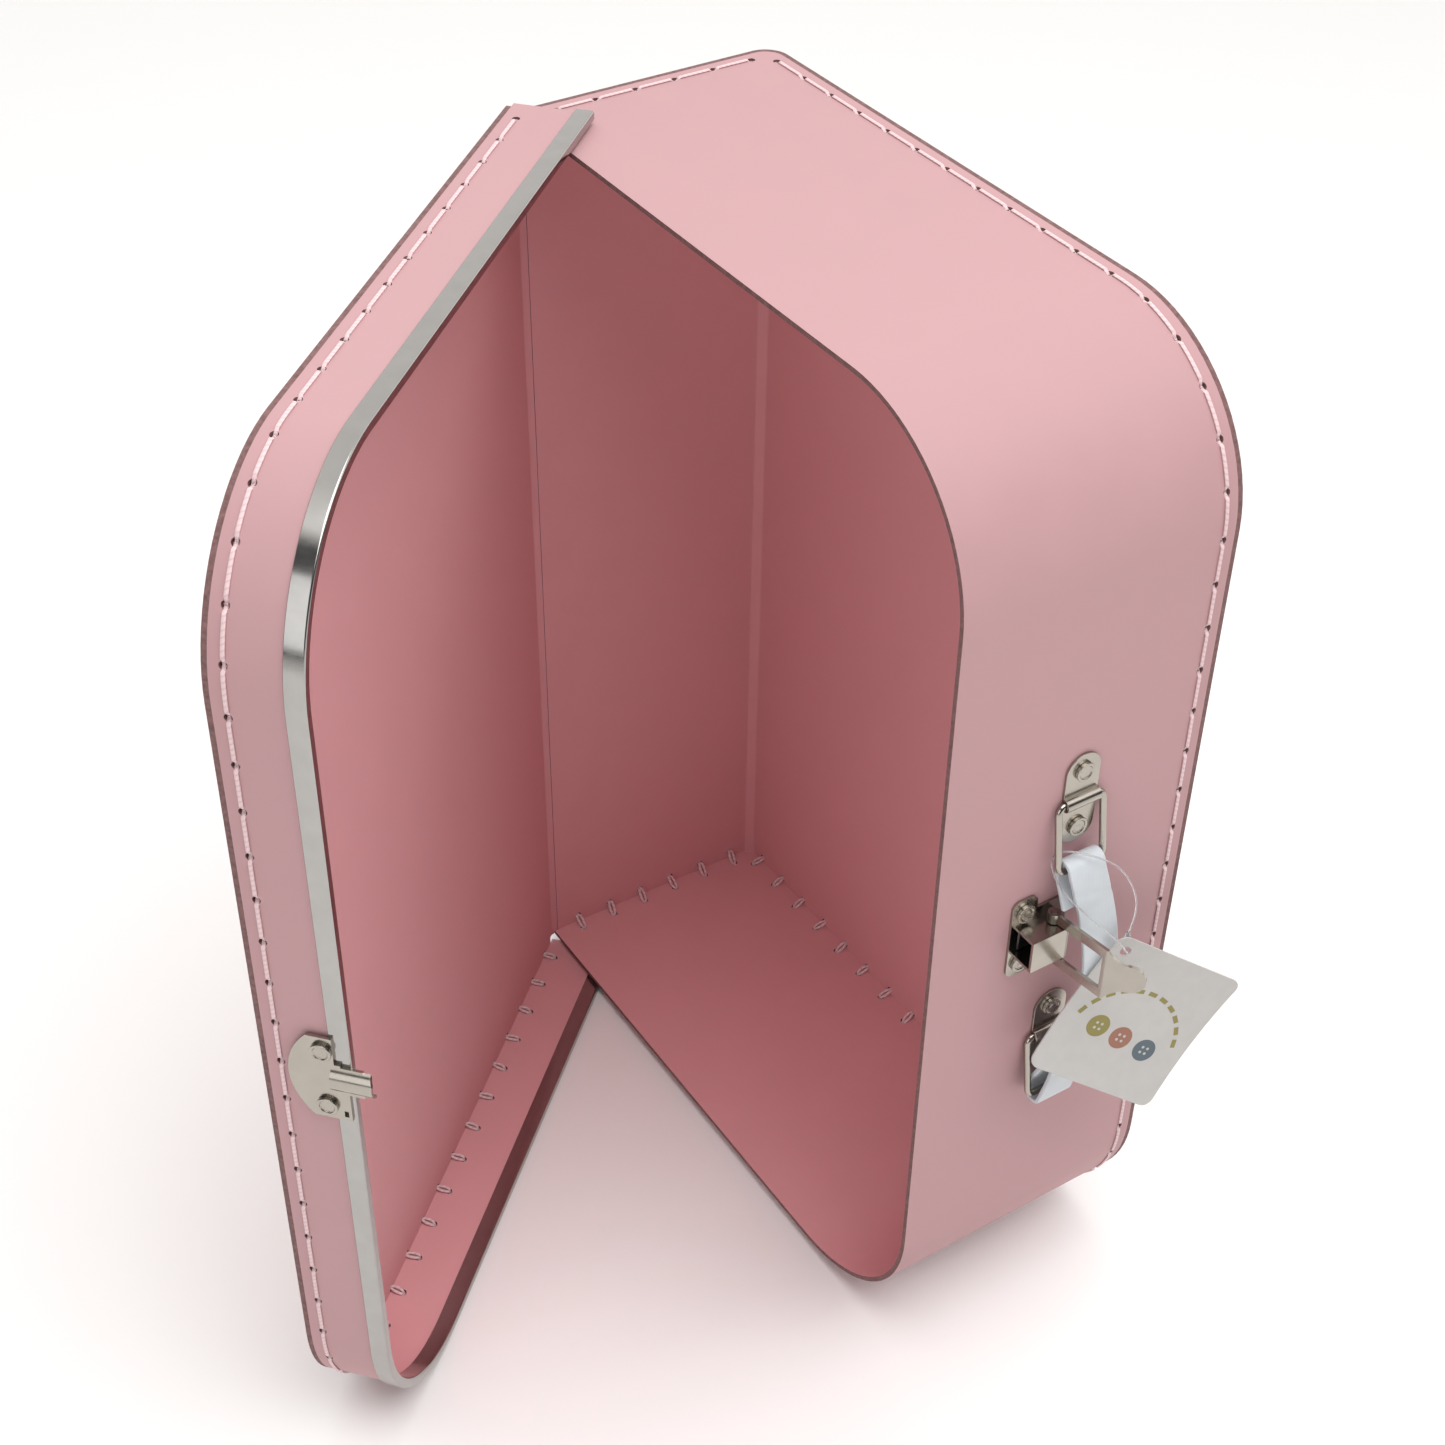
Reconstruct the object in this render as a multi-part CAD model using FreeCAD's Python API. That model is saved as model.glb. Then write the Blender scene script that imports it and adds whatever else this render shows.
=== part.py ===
"""Stitched fibreboard case on its short end, lid part open, in millimetres.

Case axes while building: X from the spine to the handle wall, Y from the opening to the back
panel, Z up along the long side. The finished nodes are shifted so that the origin is the
bottom centre of the whole object.
"""
import FreeCAD, Part
import math
import os

V = FreeCAD.Vector
X_AXIS = V(1, 0, 0)
Y_AXIS = V(0, 1, 0)
Z_AXIS = V(0, 0, 1)

# ---- driving dimensions ----
CASE_WIDTH = 200.0        # spine to handle wall
CASE_LENGTH = 300.0       # long side, upright here
CASE_DEPTH = 81.5         # opening to outside of back panel
BOARD = 1.4               # fibreboard thickness
CORNER_RADIUS = 46.0      # the two corners beside the handle wall
FOLD_RADIUS = 7.0         # outside of the fold between spine and back panel
LID_MARGIN_X = 4.0        # lid outline beyond the handle wall
LID_MARGIN_Z = 3.0        # lid outline beyond each end wall
LID_CORNER_RADIUS = 45.5
LID_DEPTH = 22.7          # hinge line to the rim's free edge
LID_OPEN_DEG = 47.5       # how far the lid stands open
CREASE_REACH = 2.5        # half width of the hinge crease
CREASE_BOARD = 1.2        # board thickness pressed into the crease
CREASE_GAP = 0.05
RIM_START = 0.6           # rim and its edging begin this far past the hinge line
HINGE_X = BOARD / 2
HINGE_Y = -1.3

TRIM_WIDTH = 5.0
TRIM_SHEET = 0.6
TRIM_FIT = 0.08

STITCH_PITCH_COUNT = 50   # stitches round the three sewn sides
SPINE_STITCHES = 6
SEAM_INSET_WALL = 5.0     # hole from the seam's corner, along the wall
SEAM_INSET_PANEL = 2.8    # hole from the seam's corner, along the panel
SPINE_INSET_PANEL = 4.2
LID_INSET_PANEL = 2.2
SEAM_START = 9.3          # first hole from the spine
SPINE_SEAM_END = 10.5     # last hole of the spine's seams from the back panel
HOLE_RADIUS = 1.05
THREAD_RADIUS = 0.3
THREAD_LIFT = 0.01        # thread lies this far off the board
STITCH_END_GAP = 0.6      # an outer run stops this far from its hole's middle

HARDWARE_Z = 149.0        # middle height of latch, strike and handle
RIVET_HEAD_RADIUS = 2.8
RIVET_HEAD_HEIGHT = 1.1
RIVET_ROUND = 0.66
RIVET_DIMPLE = 0.25       # depth of the hollow in a rivet's head
RIVET_RADIUS = 1.3
RIVET_TAIL_RADIUS = 2.5
RIVET_TAIL_HEIGHT = 0.8
STRIKE_TAIL_RADIUS = 1.7   # smaller, to miss the edge trim
RIVET_HOLE_RADIUS = 1.35
SHEET = 0.8               # steel sheet of plates and latch

HANDLE_Y = 41.6           # middle of the handle across the wall
HANDLE_SPAN = 81.0        # between the two ring pivots
PLATE_LENGTH = 28.0
PLATE_WIDTH = 10.6
PLATE_RIVET_SPAN = 17.6
WIRE_RADIUS = 0.95
RING_HALF_WIDTH = 7.05    # middle of the side wires
RING_REACH = 19.5         # pivot bar to outer bar
RING_TILT_DEG = 9.0       # the hanging ring's lean away from the wall
RING_CORNER = 2.2
PIVOT_LIFT = 1.1          # ring pivot above the wall
BRIDGE_CLEARANCE = 0.15
STRAP_WIDTH = 11.4
STRAP_THICKNESS = 1.4
STRAP_EYE_OUTER = 3.3
STRAP_EYE_INNER = 2.0
STRAP_EYE_BITE = 0.07     # band's outer face set in from the eyes'
STRAP_RISE = 2.6          # outward bow of the strap
STRAP_SWAY = 7.1          # sideways bow of the strap, past the latch lever

LATCH_EAR_Y = 24.2        # latch plate's edge nearest the opening
LATCH_EAR_WIDTH = 8.0
LATCH_PLATE_LENGTH = 26.0
LATCH_BACK_Y = 42.0
LATCH_BACK_LENGTH = 17.0
LATCH_RIVET_SPAN = 17.2
HOUSING_Y = 25.4          # housing's mouth
HOUSING_LENGTH = 13.0
HOUSING_WIDTH = 10.0
HOUSING_HEIGHT = 8.4      # wall to the housing's outer face
EAR_CORNER = 2.4
BACK_CORNER = 3.0
COVER_CORNER = 2.6
SPRING_SHEET = 0.3
SPRING_SIDE_GAP = 0.6     # spring to the housing's cheeks
SPRING_PIN_GAP = 0.65     # spring's underside to the pin
SPRING_INSET = 1.6        # spring's end from the housing's mouth
SPRING_FOOT = 2.4         # half length of the spring's arch
PIN_HEIGHT = 4.2          # lever pin above the wall
PIN_Y = 35.0
PIN_RADIUS = 0.9
PIN_CLEARANCE = 0.05
PIN_OVERHANG = 0.3
KNUCKLE_RADIUS = 1.7
LEVER_CLEARANCE = 0.3     # arms to the housing's cheeks
LEVER_ARM = 3.0
LEVER_WINDOW_END = 17.0
LEVER_SHEET = 0.9
LEVER_LEAN_DEG = 8.0      # open lever past square to the wall
LEVER_CLOSED_DEG = 15.0   # closed lever's lift off the wall; sets the record's travel
TAB_BEND_DEG = 33.0
TAB_LENGTH = 10.5
TAB_TIP_RADIUS = 4.4
TAB_SHOULDER_ALONG = 0.75  # shares of the tab's straight length and neck width
TAB_HOLLOW_ALONG = 0.45
TAB_HOLLOW_ACROSS = 0.66

STRIKE_RADIUS = 13.7      # half length of the strike plate
STRIKE_FLAT_V = 18.7      # straight edge of the strike plate, from the hinge line
STRIKE_DEPTH = 12.0       # the plate's reach back along the rim
STRIKE_SIDE = 6.5         # straight part of its sides, before the round
STRIKE_SMALL_TAB = 5.2    # width of the shorter strip beside the tongue
STRIKE_SLOT = (1.2, 3.2)  # slot in the long strip, from its outer side
STRIKE_SLOT_NEAR = 1.2
STRIKE_SLOT_FAR = 2.3
STRIKE_RIVET_V = 15.9
STRIKE_RIVET_SPAN = 18.5
TONGUE_RADIUS = 4.5
TONGUE_HEIGHT = 2.6
TONGUE_END_V = 28.4
WEB_END_V = 25.8          # flat part of the tongue, short of the housing's mouth
TONGUE_NOSE = 3.8         # half width of the part that enters the housing
TONGUE_SLANT = 1.6        # how far its top corner is cut back
STRIKE_TAB = 3.1          # strip that crosses the edge trim
STRIKE_LIFT = 0.72        # strike plate stands off the rim by the trim's thickness

TAG_WIDTH = 42.0
TAG_HEIGHT = 44.0
TAG_THICKNESS = 0.5
TAG_CORNER = 3.0
TAG_BEND = 1.6            # how far the card's middle is bowed back
TAG_HOLE_RADIUS = 1.5
TAG_HOLE_INSET = 4.2
TAG_TOP = V(213.0, 51.4, 148.0)       # corner beside the hole
TAG_ACROSS = V(14.0, 32.4, -22.8).normalize()
TAG_DOWN_HINT = V(-3.0, -25.4, -36.3)
TAG_OUT = TAG_ACROSS.cross(TAG_DOWN_HINT).normalize().multiply(-1)
TAG_DOWN = TAG_ACROSS.cross(TAG_OUT).normalize()
LOOP_RADIUS = 0.25
LOCK_RADIUS = 0.7
LOCK_LENGTH = 2.0
LOCK_ROUND = 0.28
LOCK_CLEARANCE = 0.02
LOCK_PLACE = V(212.5, 53.6, 146.2)
# where the loop changes direction, from the lock through the card, round the ring and back
LOOP_ROUTE = [V(212.34, 52.94, 142.19), V(216.39, 51.61, 142.78), V(214.8, 47.5, 149.8),
              V(210.8, 38.8, 160.0), V(207.2, 32.9, 168.2), V(201.7, 32.9, 173.6), V(201.9, 36.8, 175.6),
              V(207.2, 42.5, 175.0), V(210.8, 49.5, 170.5), V(213.4, 54.0, 160.5), V(213.0, 54.6, 151.0)]
LOOP_SETBACK = 0.45       # share of the shorter run that each of its bends takes
EPS = 0.01

# ---- worked-out values ----
WALL_END_Y = CASE_DEPTH - BOARD
RIM_U = CASE_WIDTH + LID_MARGIN_X - HINGE_X
PANEL_V = BOARD / 2
PLATE_CENTRES = (HARDWARE_Z + HANDLE_SPAN / 2, HARDWARE_Z - HANDLE_SPAN / 2)
RING_TILT = math.radians(RING_TILT_DEG)
BAR_DX = RING_REACH * math.sin(RING_TILT)
BAR_DZ = RING_REACH * math.cos(RING_TILT)
PIVOT_X = CASE_WIDTH + PIVOT_LIFT
KNUCKLE_INNER = HOUSING_WIDTH / 2 + LEVER_CLEARANCE
KNUCKLE_OUTER = KNUCKLE_INNER + LEVER_ARM


def box(x0, x1, y0, y1, z0, z1):
    return Part.makeBox(x1 - x0, y1 - y0, z1 - z0, V(x0, y0, z0))


def cylinder(radius, start, end):
    return Part.makeCylinder(radius, start.distanceToPoint(end), start, end.sub(start))


def fuse(shapes):
    result = shapes[0]
    if len(shapes) > 1:
        result = result.fuse(shapes[1:])
    return result.removeSplitter()


def polygon_prism(points, direction):
    wire = Part.makePolygon(points + [points[0]])
    return Part.Face(wire).extrude(direction)


class Outline:
    """Three-sided outline: top run, corner, long side, corner, bottom run, clockwise from the hinge."""

    def __init__(self, start, far, low, high, radius):
        self.start = start
        self.far = far
        self.low = low
        self.high = high
        self.radius = radius
        self.run = far - radius - start
        self.arc = radius * math.pi / 2
        self.side = high - low - 2 * radius
        self.length = 2 * self.run + 2 * self.arc + self.side
        self.breaks = [0.0, self.run, self.run + self.arc, self.run + self.arc + self.side,
                       self.run + 2 * self.arc + self.side, self.length]

    def at(self, s, offset=0.0):
        """Point on the outline and its outward normal, in (x, z)."""
        reach = self.radius + offset
        centre_x = self.far - self.radius
        if s <= self.breaks[1]:
            return (self.start + s, self.high + offset), (0.0, 1.0)
        if s <= self.breaks[2]:
            turn = math.pi / 2 - (s - self.breaks[1]) / self.radius
            normal = (math.cos(turn), math.sin(turn))
            centre_z = self.high - self.radius
            return (centre_x + reach * normal[0], centre_z + reach * normal[1]), normal
        if s <= self.breaks[3]:
            return (self.far + offset, self.high - self.radius - (s - self.breaks[2])), (1.0, 0.0)
        if s <= self.breaks[4]:
            turn = -(s - self.breaks[3]) / self.radius
            normal = (math.cos(turn), math.sin(turn))
            centre_z = self.low + self.radius
            return (centre_x + reach * normal[0], centre_z + reach * normal[1]), normal
        return (centre_x - (s - self.breaks[4]), self.low - offset), (0.0, -1.0)

    def edges(self, s0, s1, offset, y):
        """Edges of the outline between two lengths, at height y."""
        result = []
        for i in range(5):
            a = max(s0, self.breaks[i])
            b = min(s1, self.breaks[i + 1])
            if b - a < EPS:
                continue
            ends = [self.at(s, offset)[0] for s in (a, b)]
            middle = self.at((a + b) / 2, offset)[0]
            p, m, q = [V(c[0], y, c[1]) for c in (ends[0], middle, ends[1])]
            if i % 2:
                result.append(Part.Arc(p, m, q).toShape())
            else:
                result.append(Part.makeLine(p, q))
        return result

    def face(self, inset, y, start):
        """Flat face inside the outline, its corners rounded, from x = start."""
        radius = self.radius - inset
        x1 = self.far - inset
        z0 = self.low + inset
        z1 = self.high - inset
        turn = radius * (1 - math.sqrt(0.5))
        points = [V(start, y, z1), V(x1 - radius, y, z1), V(x1 - turn, y, z1 - turn), V(x1, y, z1 - radius),
                  V(x1, y, z0 + radius), V(x1 - turn, y, z0 + turn), V(x1 - radius, y, z0), V(start, y, z0)]
        edges = [Part.makeLine(points[0], points[1]), Part.Arc(points[1], points[2], points[3]).toShape(),
                 Part.makeLine(points[3], points[4]), Part.Arc(points[4], points[5], points[6]).toShape(),
                 Part.makeLine(points[6], points[7]), Part.makeLine(points[7], points[0])]
        return Part.Face(Part.Wire(edges))

    def solid(self, inset, y0, y1, start):
        return self.face(inset, y0, start).extrude(V(0, y1 - y0, 0))

    def strip(self, inset0, inset1, y0, y1, start):
        """U-shaped wall between two insets of the outline."""
        outer = self.solid(inset0, y0, y1, start)
        return outer.cut(self.solid(inset1, y0 - 1, y1 + 1, start - 1))


BASE = Outline(BOARD, CASE_WIDTH, 0.0, CASE_LENGTH, CORNER_RADIUS)
LID_START = CREASE_REACH + CREASE_GAP
LID = Outline(LID_START, RIM_U, -LID_MARGIN_Z, CASE_LENGTH + LID_MARGIN_Z, LID_CORNER_RADIUS)


def stitch_stops(outline, start):
    """Lengths along the outline where its stitch holes are."""
    first = start - outline.start
    pitch = (outline.length - 2 * first) / STITCH_PITCH_COUNT
    return [first + i * pitch for i in range(STITCH_PITCH_COUNT + 1)]


def seam_frame(outline, s, face_y):
    """Seam corner on the outside and the wall's outward direction at length s."""
    point, normal = outline.at(s)
    return V(point[0], face_y, point[1]), V(normal[0], 0, normal[1])


def hole_through(point, direction):
    """Punched stitch hole that passes through one board at point."""
    reach = direction.normalize().multiply(BOARD)
    return cylinder(HOLE_RADIUS, point.sub(reach), point.add(reach))


def seam_holes(frames, panel_out, inset_panel):
    """Cutters of a seam: through the wall and through the panel at each stitch."""
    wall = []
    panel = []
    for corner, wall_out in frames:
        in_wall = corner.sub(panel_out * SEAM_INSET_WALL).sub(wall_out * (BOARD / 2))
        in_panel = corner.sub(wall_out * inset_panel).sub(panel_out * (BOARD / 2))
        wall.append(hole_through(in_wall, V(wall_out)))
        panel.append(hole_through(in_panel, V(panel_out)))
    return wall, panel


def inner_stitch(corner, wall_out, panel_out, inset_panel):
    """Inside loop of one stitch: out of the wall's hole, across the corner, into the panel's hole."""
    depth = BOARD + THREAD_RADIUS + THREAD_LIFT
    wall_top = corner.sub(panel_out * SEAM_INSET_WALL)
    panel_top = corner.sub(wall_out * inset_panel)
    wall_in = wall_top.sub(wall_out * depth)
    panel_in = panel_top.sub(panel_out * depth)
    legs = [cylinder(THREAD_RADIUS, wall_top, wall_in), cylinder(THREAD_RADIUS, panel_top, panel_in)]
    span = cylinder(THREAD_RADIUS, wall_in, panel_in)
    joints = [Part.makeSphere(THREAD_RADIUS, p) for p in (wall_in, panel_in)]
    return fuse(legs + joints + [span])


def outer_run(edges):
    """Thread lying on the outside between two holes."""
    start = edges[0].valueAt(edges[0].FirstParameter)
    tangent = edges[0].tangentAt(edges[0].FirstParameter)
    ring = Part.Wire(Part.makeCircle(THREAD_RADIUS, start, tangent))
    return Part.Wire(edges).makePipeShell([ring], True, False)


def outline_runs(outline, stops, lift, inset, y):
    offset = lift - inset
    return [outer_run(outline.edges(a + STITCH_END_GAP, b - STITCH_END_GAP, offset, y))
            for a, b in zip(stops, stops[1:])]


def spine_frames():
    """Seams between the spine and the two end walls."""
    last = CASE_DEPTH - SPINE_SEAM_END
    step = (last - SEAM_START) / (SPINE_STITCHES - 1)
    stops = [SEAM_START + i * step for i in range(SPINE_STITCHES)]
    return stops, [(V(0, y, z), V(0, 0, way)) for z, way in ((0.0, -1), (CASE_LENGTH, 1)) for y in stops]


BASE_STOPS = stitch_stops(BASE, SEAM_START)
LID_STOPS = stitch_stops(LID, SEAM_START)
BASE_FRAMES = [seam_frame(BASE, s, CASE_DEPTH) for s in BASE_STOPS]
LID_FRAMES = [seam_frame(LID, s, -PANEL_V) for s in LID_STOPS]
SPINE_STOPS, SPINE_FRAMES = spine_frames()
BASE_HOLES = seam_holes(BASE_FRAMES, V(0, 1, 0), SEAM_INSET_PANEL)
SPINE_HOLES = seam_holes(SPINE_FRAMES, V(-1, 0, 0), SPINE_INSET_PANEL)
LID_HOLES = seam_holes(LID_FRAMES, V(0, -1, 0), LID_INSET_PANEL)


def rivet(point, through, tail_radius=RIVET_TAIL_RADIUS):
    """Rivet pointing out of the wall: low domed head with a dimple, shank, clinched tail inside."""
    crown = point.add(X_AXIS * RIVET_HEAD_HEIGHT)
    head = cylinder(RIVET_HEAD_RADIUS, point, crown)
    rim = [e for e in head.Edges if e.Closed and abs(e.CenterOfMass.x - crown.x) < EPS]
    head = head.makeFillet(RIVET_ROUND, rim)
    dimple = Part.makeSphere(RIVET_HEAD_RADIUS, crown.add(X_AXIS * (RIVET_HEAD_RADIUS - RIVET_DIMPLE)))
    tail_base = point.sub(X_AXIS * through)
    shank = cylinder(RIVET_RADIUS, tail_base, point)
    tail = cylinder(tail_radius, tail_base.sub(X_AXIS * RIVET_TAIL_HEIGHT), tail_base)
    return fuse([head, shank, tail]).cut(dimple)


def handle_rivet_points():
    half = PLATE_RIVET_SPAN / 2
    return [V(CASE_WIDTH, HANDLE_Y, z + side) for z in PLATE_CENTRES for side in (half, -half)]


def latch_rivet_points():
    half = LATCH_RIVET_SPAN / 2
    y = LATCH_EAR_Y + LATCH_EAR_WIDTH / 2
    return [V(CASE_WIDTH, y, HARDWARE_Z + side) for side in (half, -half)]


def strike_rivet_points():
    half = STRIKE_RIVET_SPAN / 2
    return [V(RIM_U, STRIKE_RIVET_V, HARDWARE_Z + side) for side in (half, -half)]


def rivet_holes(points, reach):
    return [cylinder(RIVET_HOLE_RADIUS, p.sub(X_AXIS * reach), p.add(X_AXIS * reach)) for p in points]


def base_shell():
    """Spine and back panel: one board folded once, edges flush with the walls' outsides."""
    start_y = HINGE_Y + CREASE_REACH
    outer = box(0, CASE_WIDTH, start_y, CASE_DEPTH, 0, CASE_LENGTH)
    inner = box(BOARD, CASE_WIDTH + 1, start_y - 1, WALL_END_Y, -1, CASE_LENGTH + 1)
    outer_fold = [e for e in outer.Edges if is_upright_at(e, 0, CASE_DEPTH)]
    inner_fold = [e for e in inner.Edges if is_upright_at(e, BOARD, WALL_END_Y)]
    folded = outer.makeFillet(FOLD_RADIUS, outer_fold)
    folded = folded.cut(inner.makeFillet(FOLD_RADIUS - BOARD, inner_fold))
    shape = folded.common(BASE.solid(0, start_y - 1, CASE_DEPTH + 1, -1))
    return shape.cut(BASE_HOLES[1] + SPINE_HOLES[1])


def is_upright_at(edge, x, y):
    centre = edge.CenterOfMass
    return abs(centre.x - x) < EPS and abs(centre.y - y) < EPS


def base_wall():
    """Handle wall, both end walls and their corners, bent from one strip."""
    wall = BASE.strip(0, BOARD, 0, WALL_END_Y, BOARD)
    room = box(BOARD, CASE_WIDTH + 1, -1, WALL_END_Y, -1, CASE_LENGTH + 1)
    fold = [e for e in room.Edges if is_upright_at(e, BOARD, WALL_END_Y)]
    wall = wall.common(room.makeFillet(FOLD_RADIUS - BOARD, fold))
    cutters = BASE_HOLES[0] + SPINE_HOLES[0]
    cutters += rivet_holes(handle_rivet_points() + latch_rivet_points(), 2 * BOARD)
    return wall.cut(cutters)


def base_stitches_outer():
    lift = THREAD_RADIUS + THREAD_LIFT
    runs = outline_runs(BASE, BASE_STOPS, lift, 0, CASE_DEPTH - SEAM_INSET_WALL)
    runs += outline_runs(BASE, BASE_STOPS, 0, SEAM_INSET_PANEL, CASE_DEPTH + lift)
    for z, way in ((0.0, -1), (CASE_LENGTH, 1)):
        for a, b in zip(SPINE_STOPS, SPINE_STOPS[1:]):
            y0 = a + STITCH_END_GAP
            y1 = b - STITCH_END_GAP
            for x, height in ((SEAM_INSET_WALL, z + way * lift), (-lift, z - way * SPINE_INSET_PANEL)):
                runs.append(cylinder(THREAD_RADIUS, V(x, y0, height), V(x, y1, height)))
    return Part.makeCompound(runs)


def base_stitches_inner():
    loops = [inner_stitch(c, w, V(0, 1, 0), SEAM_INSET_PANEL) for c, w in BASE_FRAMES]
    loops += [inner_stitch(c, w, V(-1, 0, 0), SPINE_INSET_PANEL) for c, w in SPINE_FRAMES]
    return Part.makeCompound(loops)


def hinge_crease():
    """Thinned strip of board that bends between spine and lid panel."""
    half = CREASE_BOARD / 2
    axis = V(HINGE_X, HINGE_Y, 0)
    spine_leg = box(HINGE_X - half, HINGE_X + half, HINGE_Y, HINGE_Y + CREASE_REACH, 0, CASE_LENGTH)
    lid_leg = box(0, CREASE_REACH, -half, half, 0, CASE_LENGTH)
    lid_leg.rotate(V(0, 0, 0), Z_AXIS, -LID_OPEN_DEG)
    lid_leg.translate(axis)
    roll = cylinder(half, axis, axis.add(Z_AXIS * CASE_LENGTH))
    return fuse([spine_leg, lid_leg, roll])


# ---- lid, drawn closed about the hinge line and swung open at the end ----
def to_lid_place(shape):
    placed = shape.copy()
    placed.rotate(V(0, 0, 0), Z_AXIS, -LID_OPEN_DEG)
    placed.translate(V(HINGE_X, HINGE_Y, 0))
    return placed


def lid_panel():
    panel = LID.solid(0, -PANEL_V, PANEL_V, LID_START)
    return panel.cut(LID_HOLES[1])


def lid_rim():
    """Lid's shallow wall, bent from one strip like the base's."""
    rim = LID.strip(0, BOARD, PANEL_V, LID_DEPTH - TRIM_SHEET, RIM_START)
    return rim.cut(LID_HOLES[0] + rivet_holes(strike_rivet_points(), 2 * BOARD))


def lid_edge_trim():
    """Steel channel pressed over the rim's free edge from hinge to hinge."""
    y0 = LID_DEPTH - TRIM_WIDTH
    web_y = LID_DEPTH - TRIM_SHEET + TRIM_FIT
    outer = -TRIM_FIT
    inner = BOARD + TRIM_FIT
    outer_leg = LID.strip(outer - TRIM_SHEET, outer, y0, LID_DEPTH, RIM_START)
    inner_leg = LID.strip(inner, inner + TRIM_SHEET, y0, LID_DEPTH, RIM_START)
    web = LID.strip(outer - TRIM_SHEET, inner + TRIM_SHEET, web_y, LID_DEPTH, RIM_START)
    return fuse([outer_leg, web, inner_leg])


def lid_stitches_outer():
    lift = THREAD_RADIUS + THREAD_LIFT
    runs = outline_runs(LID, LID_STOPS, lift, 0, SEAM_INSET_WALL - PANEL_V)
    runs += outline_runs(LID, LID_STOPS, 0, LID_INSET_PANEL, -PANEL_V - lift)
    return Part.makeCompound(runs)


def lid_stitches_inner():
    return Part.makeCompound([inner_stitch(c, w, V(0, -1, 0), LID_INSET_PANEL) for c, w in LID_FRAMES])


def arc_plate(points, thickness):
    """Plate whose outline is an arc through three points, closed by a straight edge."""
    arc = Part.Arc(points[0], points[1], points[2]).toShape()
    face = Part.Face(Part.Wire([arc, Part.makeLine(points[2], points[0])]))
    return face.extrude(thickness)


def tongue_ridge(x0, v0, half_width, height):
    """Round-backed ridge along the lid's depth."""
    points = [V(x0, v0, HARDWARE_Z - half_width), V(x0 + height, v0, HARDWARE_Z),
              V(x0, v0, HARDWARE_Z + half_width)]
    return arc_plate(points, V(0, TONGUE_END_V - v0, 0))


def strike_outline_plate(x0):
    """Flat plate with straight sides and a round back edge."""
    shoulder = STRIKE_FLAT_V - STRIKE_SIDE
    points = [V(x0, shoulder, HARDWARE_Z - STRIKE_RADIUS), V(x0, STRIKE_FLAT_V - STRIKE_DEPTH, HARDWARE_Z),
              V(x0, shoulder, HARDWARE_Z + STRIKE_RADIUS)]
    round_part = arc_plate(points, X_AXIS * SHEET)
    sides = box(x0, x0 + SHEET, shoulder, STRIKE_FLAT_V, points[0].z, points[2].z)
    return [round_part, sides]


def strike_plate():
    """Plate riveted to the rim, its rolled tongue reaching past the rim's edge."""
    x0 = RIM_U + STRIKE_LIFT
    x1 = x0 + SHEET
    flat = STRIKE_FLAT_V
    low = HARDWARE_Z - STRIKE_RADIUS
    high = HARDWARE_Z + TONGUE_RADIUS
    tab = box(x0, x1, flat - 1, flat + STRIKE_TAB, low, HARDWARE_Z - 1)
    small_tab = box(x0, x1, flat - 1, flat + STRIKE_TAB / 2, HARDWARE_Z, HARDWARE_Z + STRIKE_SMALL_TAB)
    slot = box(x0 - 1, x1 + 1, flat + STRIKE_SLOT_NEAR, flat + STRIKE_SLOT_FAR,
               low + STRIKE_SLOT[0], low + STRIKE_SLOT[1])
    web = box(x0, x1, flat - 1, WEB_END_V, HARDWARE_Z - TONGUE_RADIUS, high)
    ridge = tongue_ridge(x0, flat - 1, TONGUE_NOSE, TONGUE_HEIGHT)
    hollow = tongue_ridge(x0 - EPS, flat - 2, TONGUE_NOSE - SHEET, TONGUE_HEIGHT - SHEET)
    hollow = hollow.common(box(x0 - 1, x0 + TONGUE_HEIGHT, flat, TONGUE_END_V + 2, low, high))
    past_end = TONGUE_END_V + 1
    slant = polygon_prism([V(x0 - 1, past_end, HARDWARE_Z - 1), V(x0 - 1, past_end, high + 1),
                           V(x0 - 1, TONGUE_END_V - TONGUE_SLANT, high + 1)], X_AXIS * (TONGUE_HEIGHT + 2))
    shape = fuse(strike_outline_plate(x0) + [tab, small_tab, web, ridge])
    shape = shape.cut([hollow, slant, slot])
    centres = strike_rivet_points()
    pads = [cylinder(STRIKE_TAIL_RADIUS, p, p.add(X_AXIS * STRIKE_LIFT)) for p in centres]
    shape = shape.fuse(pads).removeSplitter()
    return shape.cut(rivet_holes(centres, 3 * BOARD))


def strike_rivets():
    through = SHEET + STRIKE_LIFT + BOARD
    points = [p.add(X_AXIS * (STRIKE_LIFT + SHEET)) for p in strike_rivet_points()]
    return Part.makeCompound([rivet(p, through, STRIKE_TAIL_RADIUS) for p in points])


# ---- latch ----
def latch_back_plate(x0, x1):
    """Rear half of the latch plate, its two far corners rounded."""
    half = LATCH_BACK_LENGTH / 2
    start = LATCH_EAR_Y + LATCH_EAR_WIDTH / 2
    back = box(x0, x1, start, LATCH_BACK_Y, HARDWARE_Z - half, HARDWARE_Z + half)
    corners = [e for e in back.Edges if abs(e.Length - SHEET) < EPS and e.CenterOfMass.y > start + EPS]
    return back.makeFillet(BACK_CORNER, corners)


def latch_cover(x1, top_x):
    """Bent-up box, open at its mouth, with a rounded far edge."""
    z0 = HARDWARE_Z - HOUSING_WIDTH / 2
    z1 = HARDWARE_Z + HOUSING_WIDTH / 2
    y1 = HOUSING_Y + HOUSING_LENGTH
    cover = box(x1, top_x, HOUSING_Y, y1, z0, z1)
    cover = cover.makeFillet(COVER_CORNER, [e for e in cover.Edges if is_upright_at(e, top_x, y1)])
    hollow = box(x1, top_x - SHEET, HOUSING_Y - 1, y1 - SHEET, z0 + SHEET, z1 - SHEET)
    return cover.cut(hollow)


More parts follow.
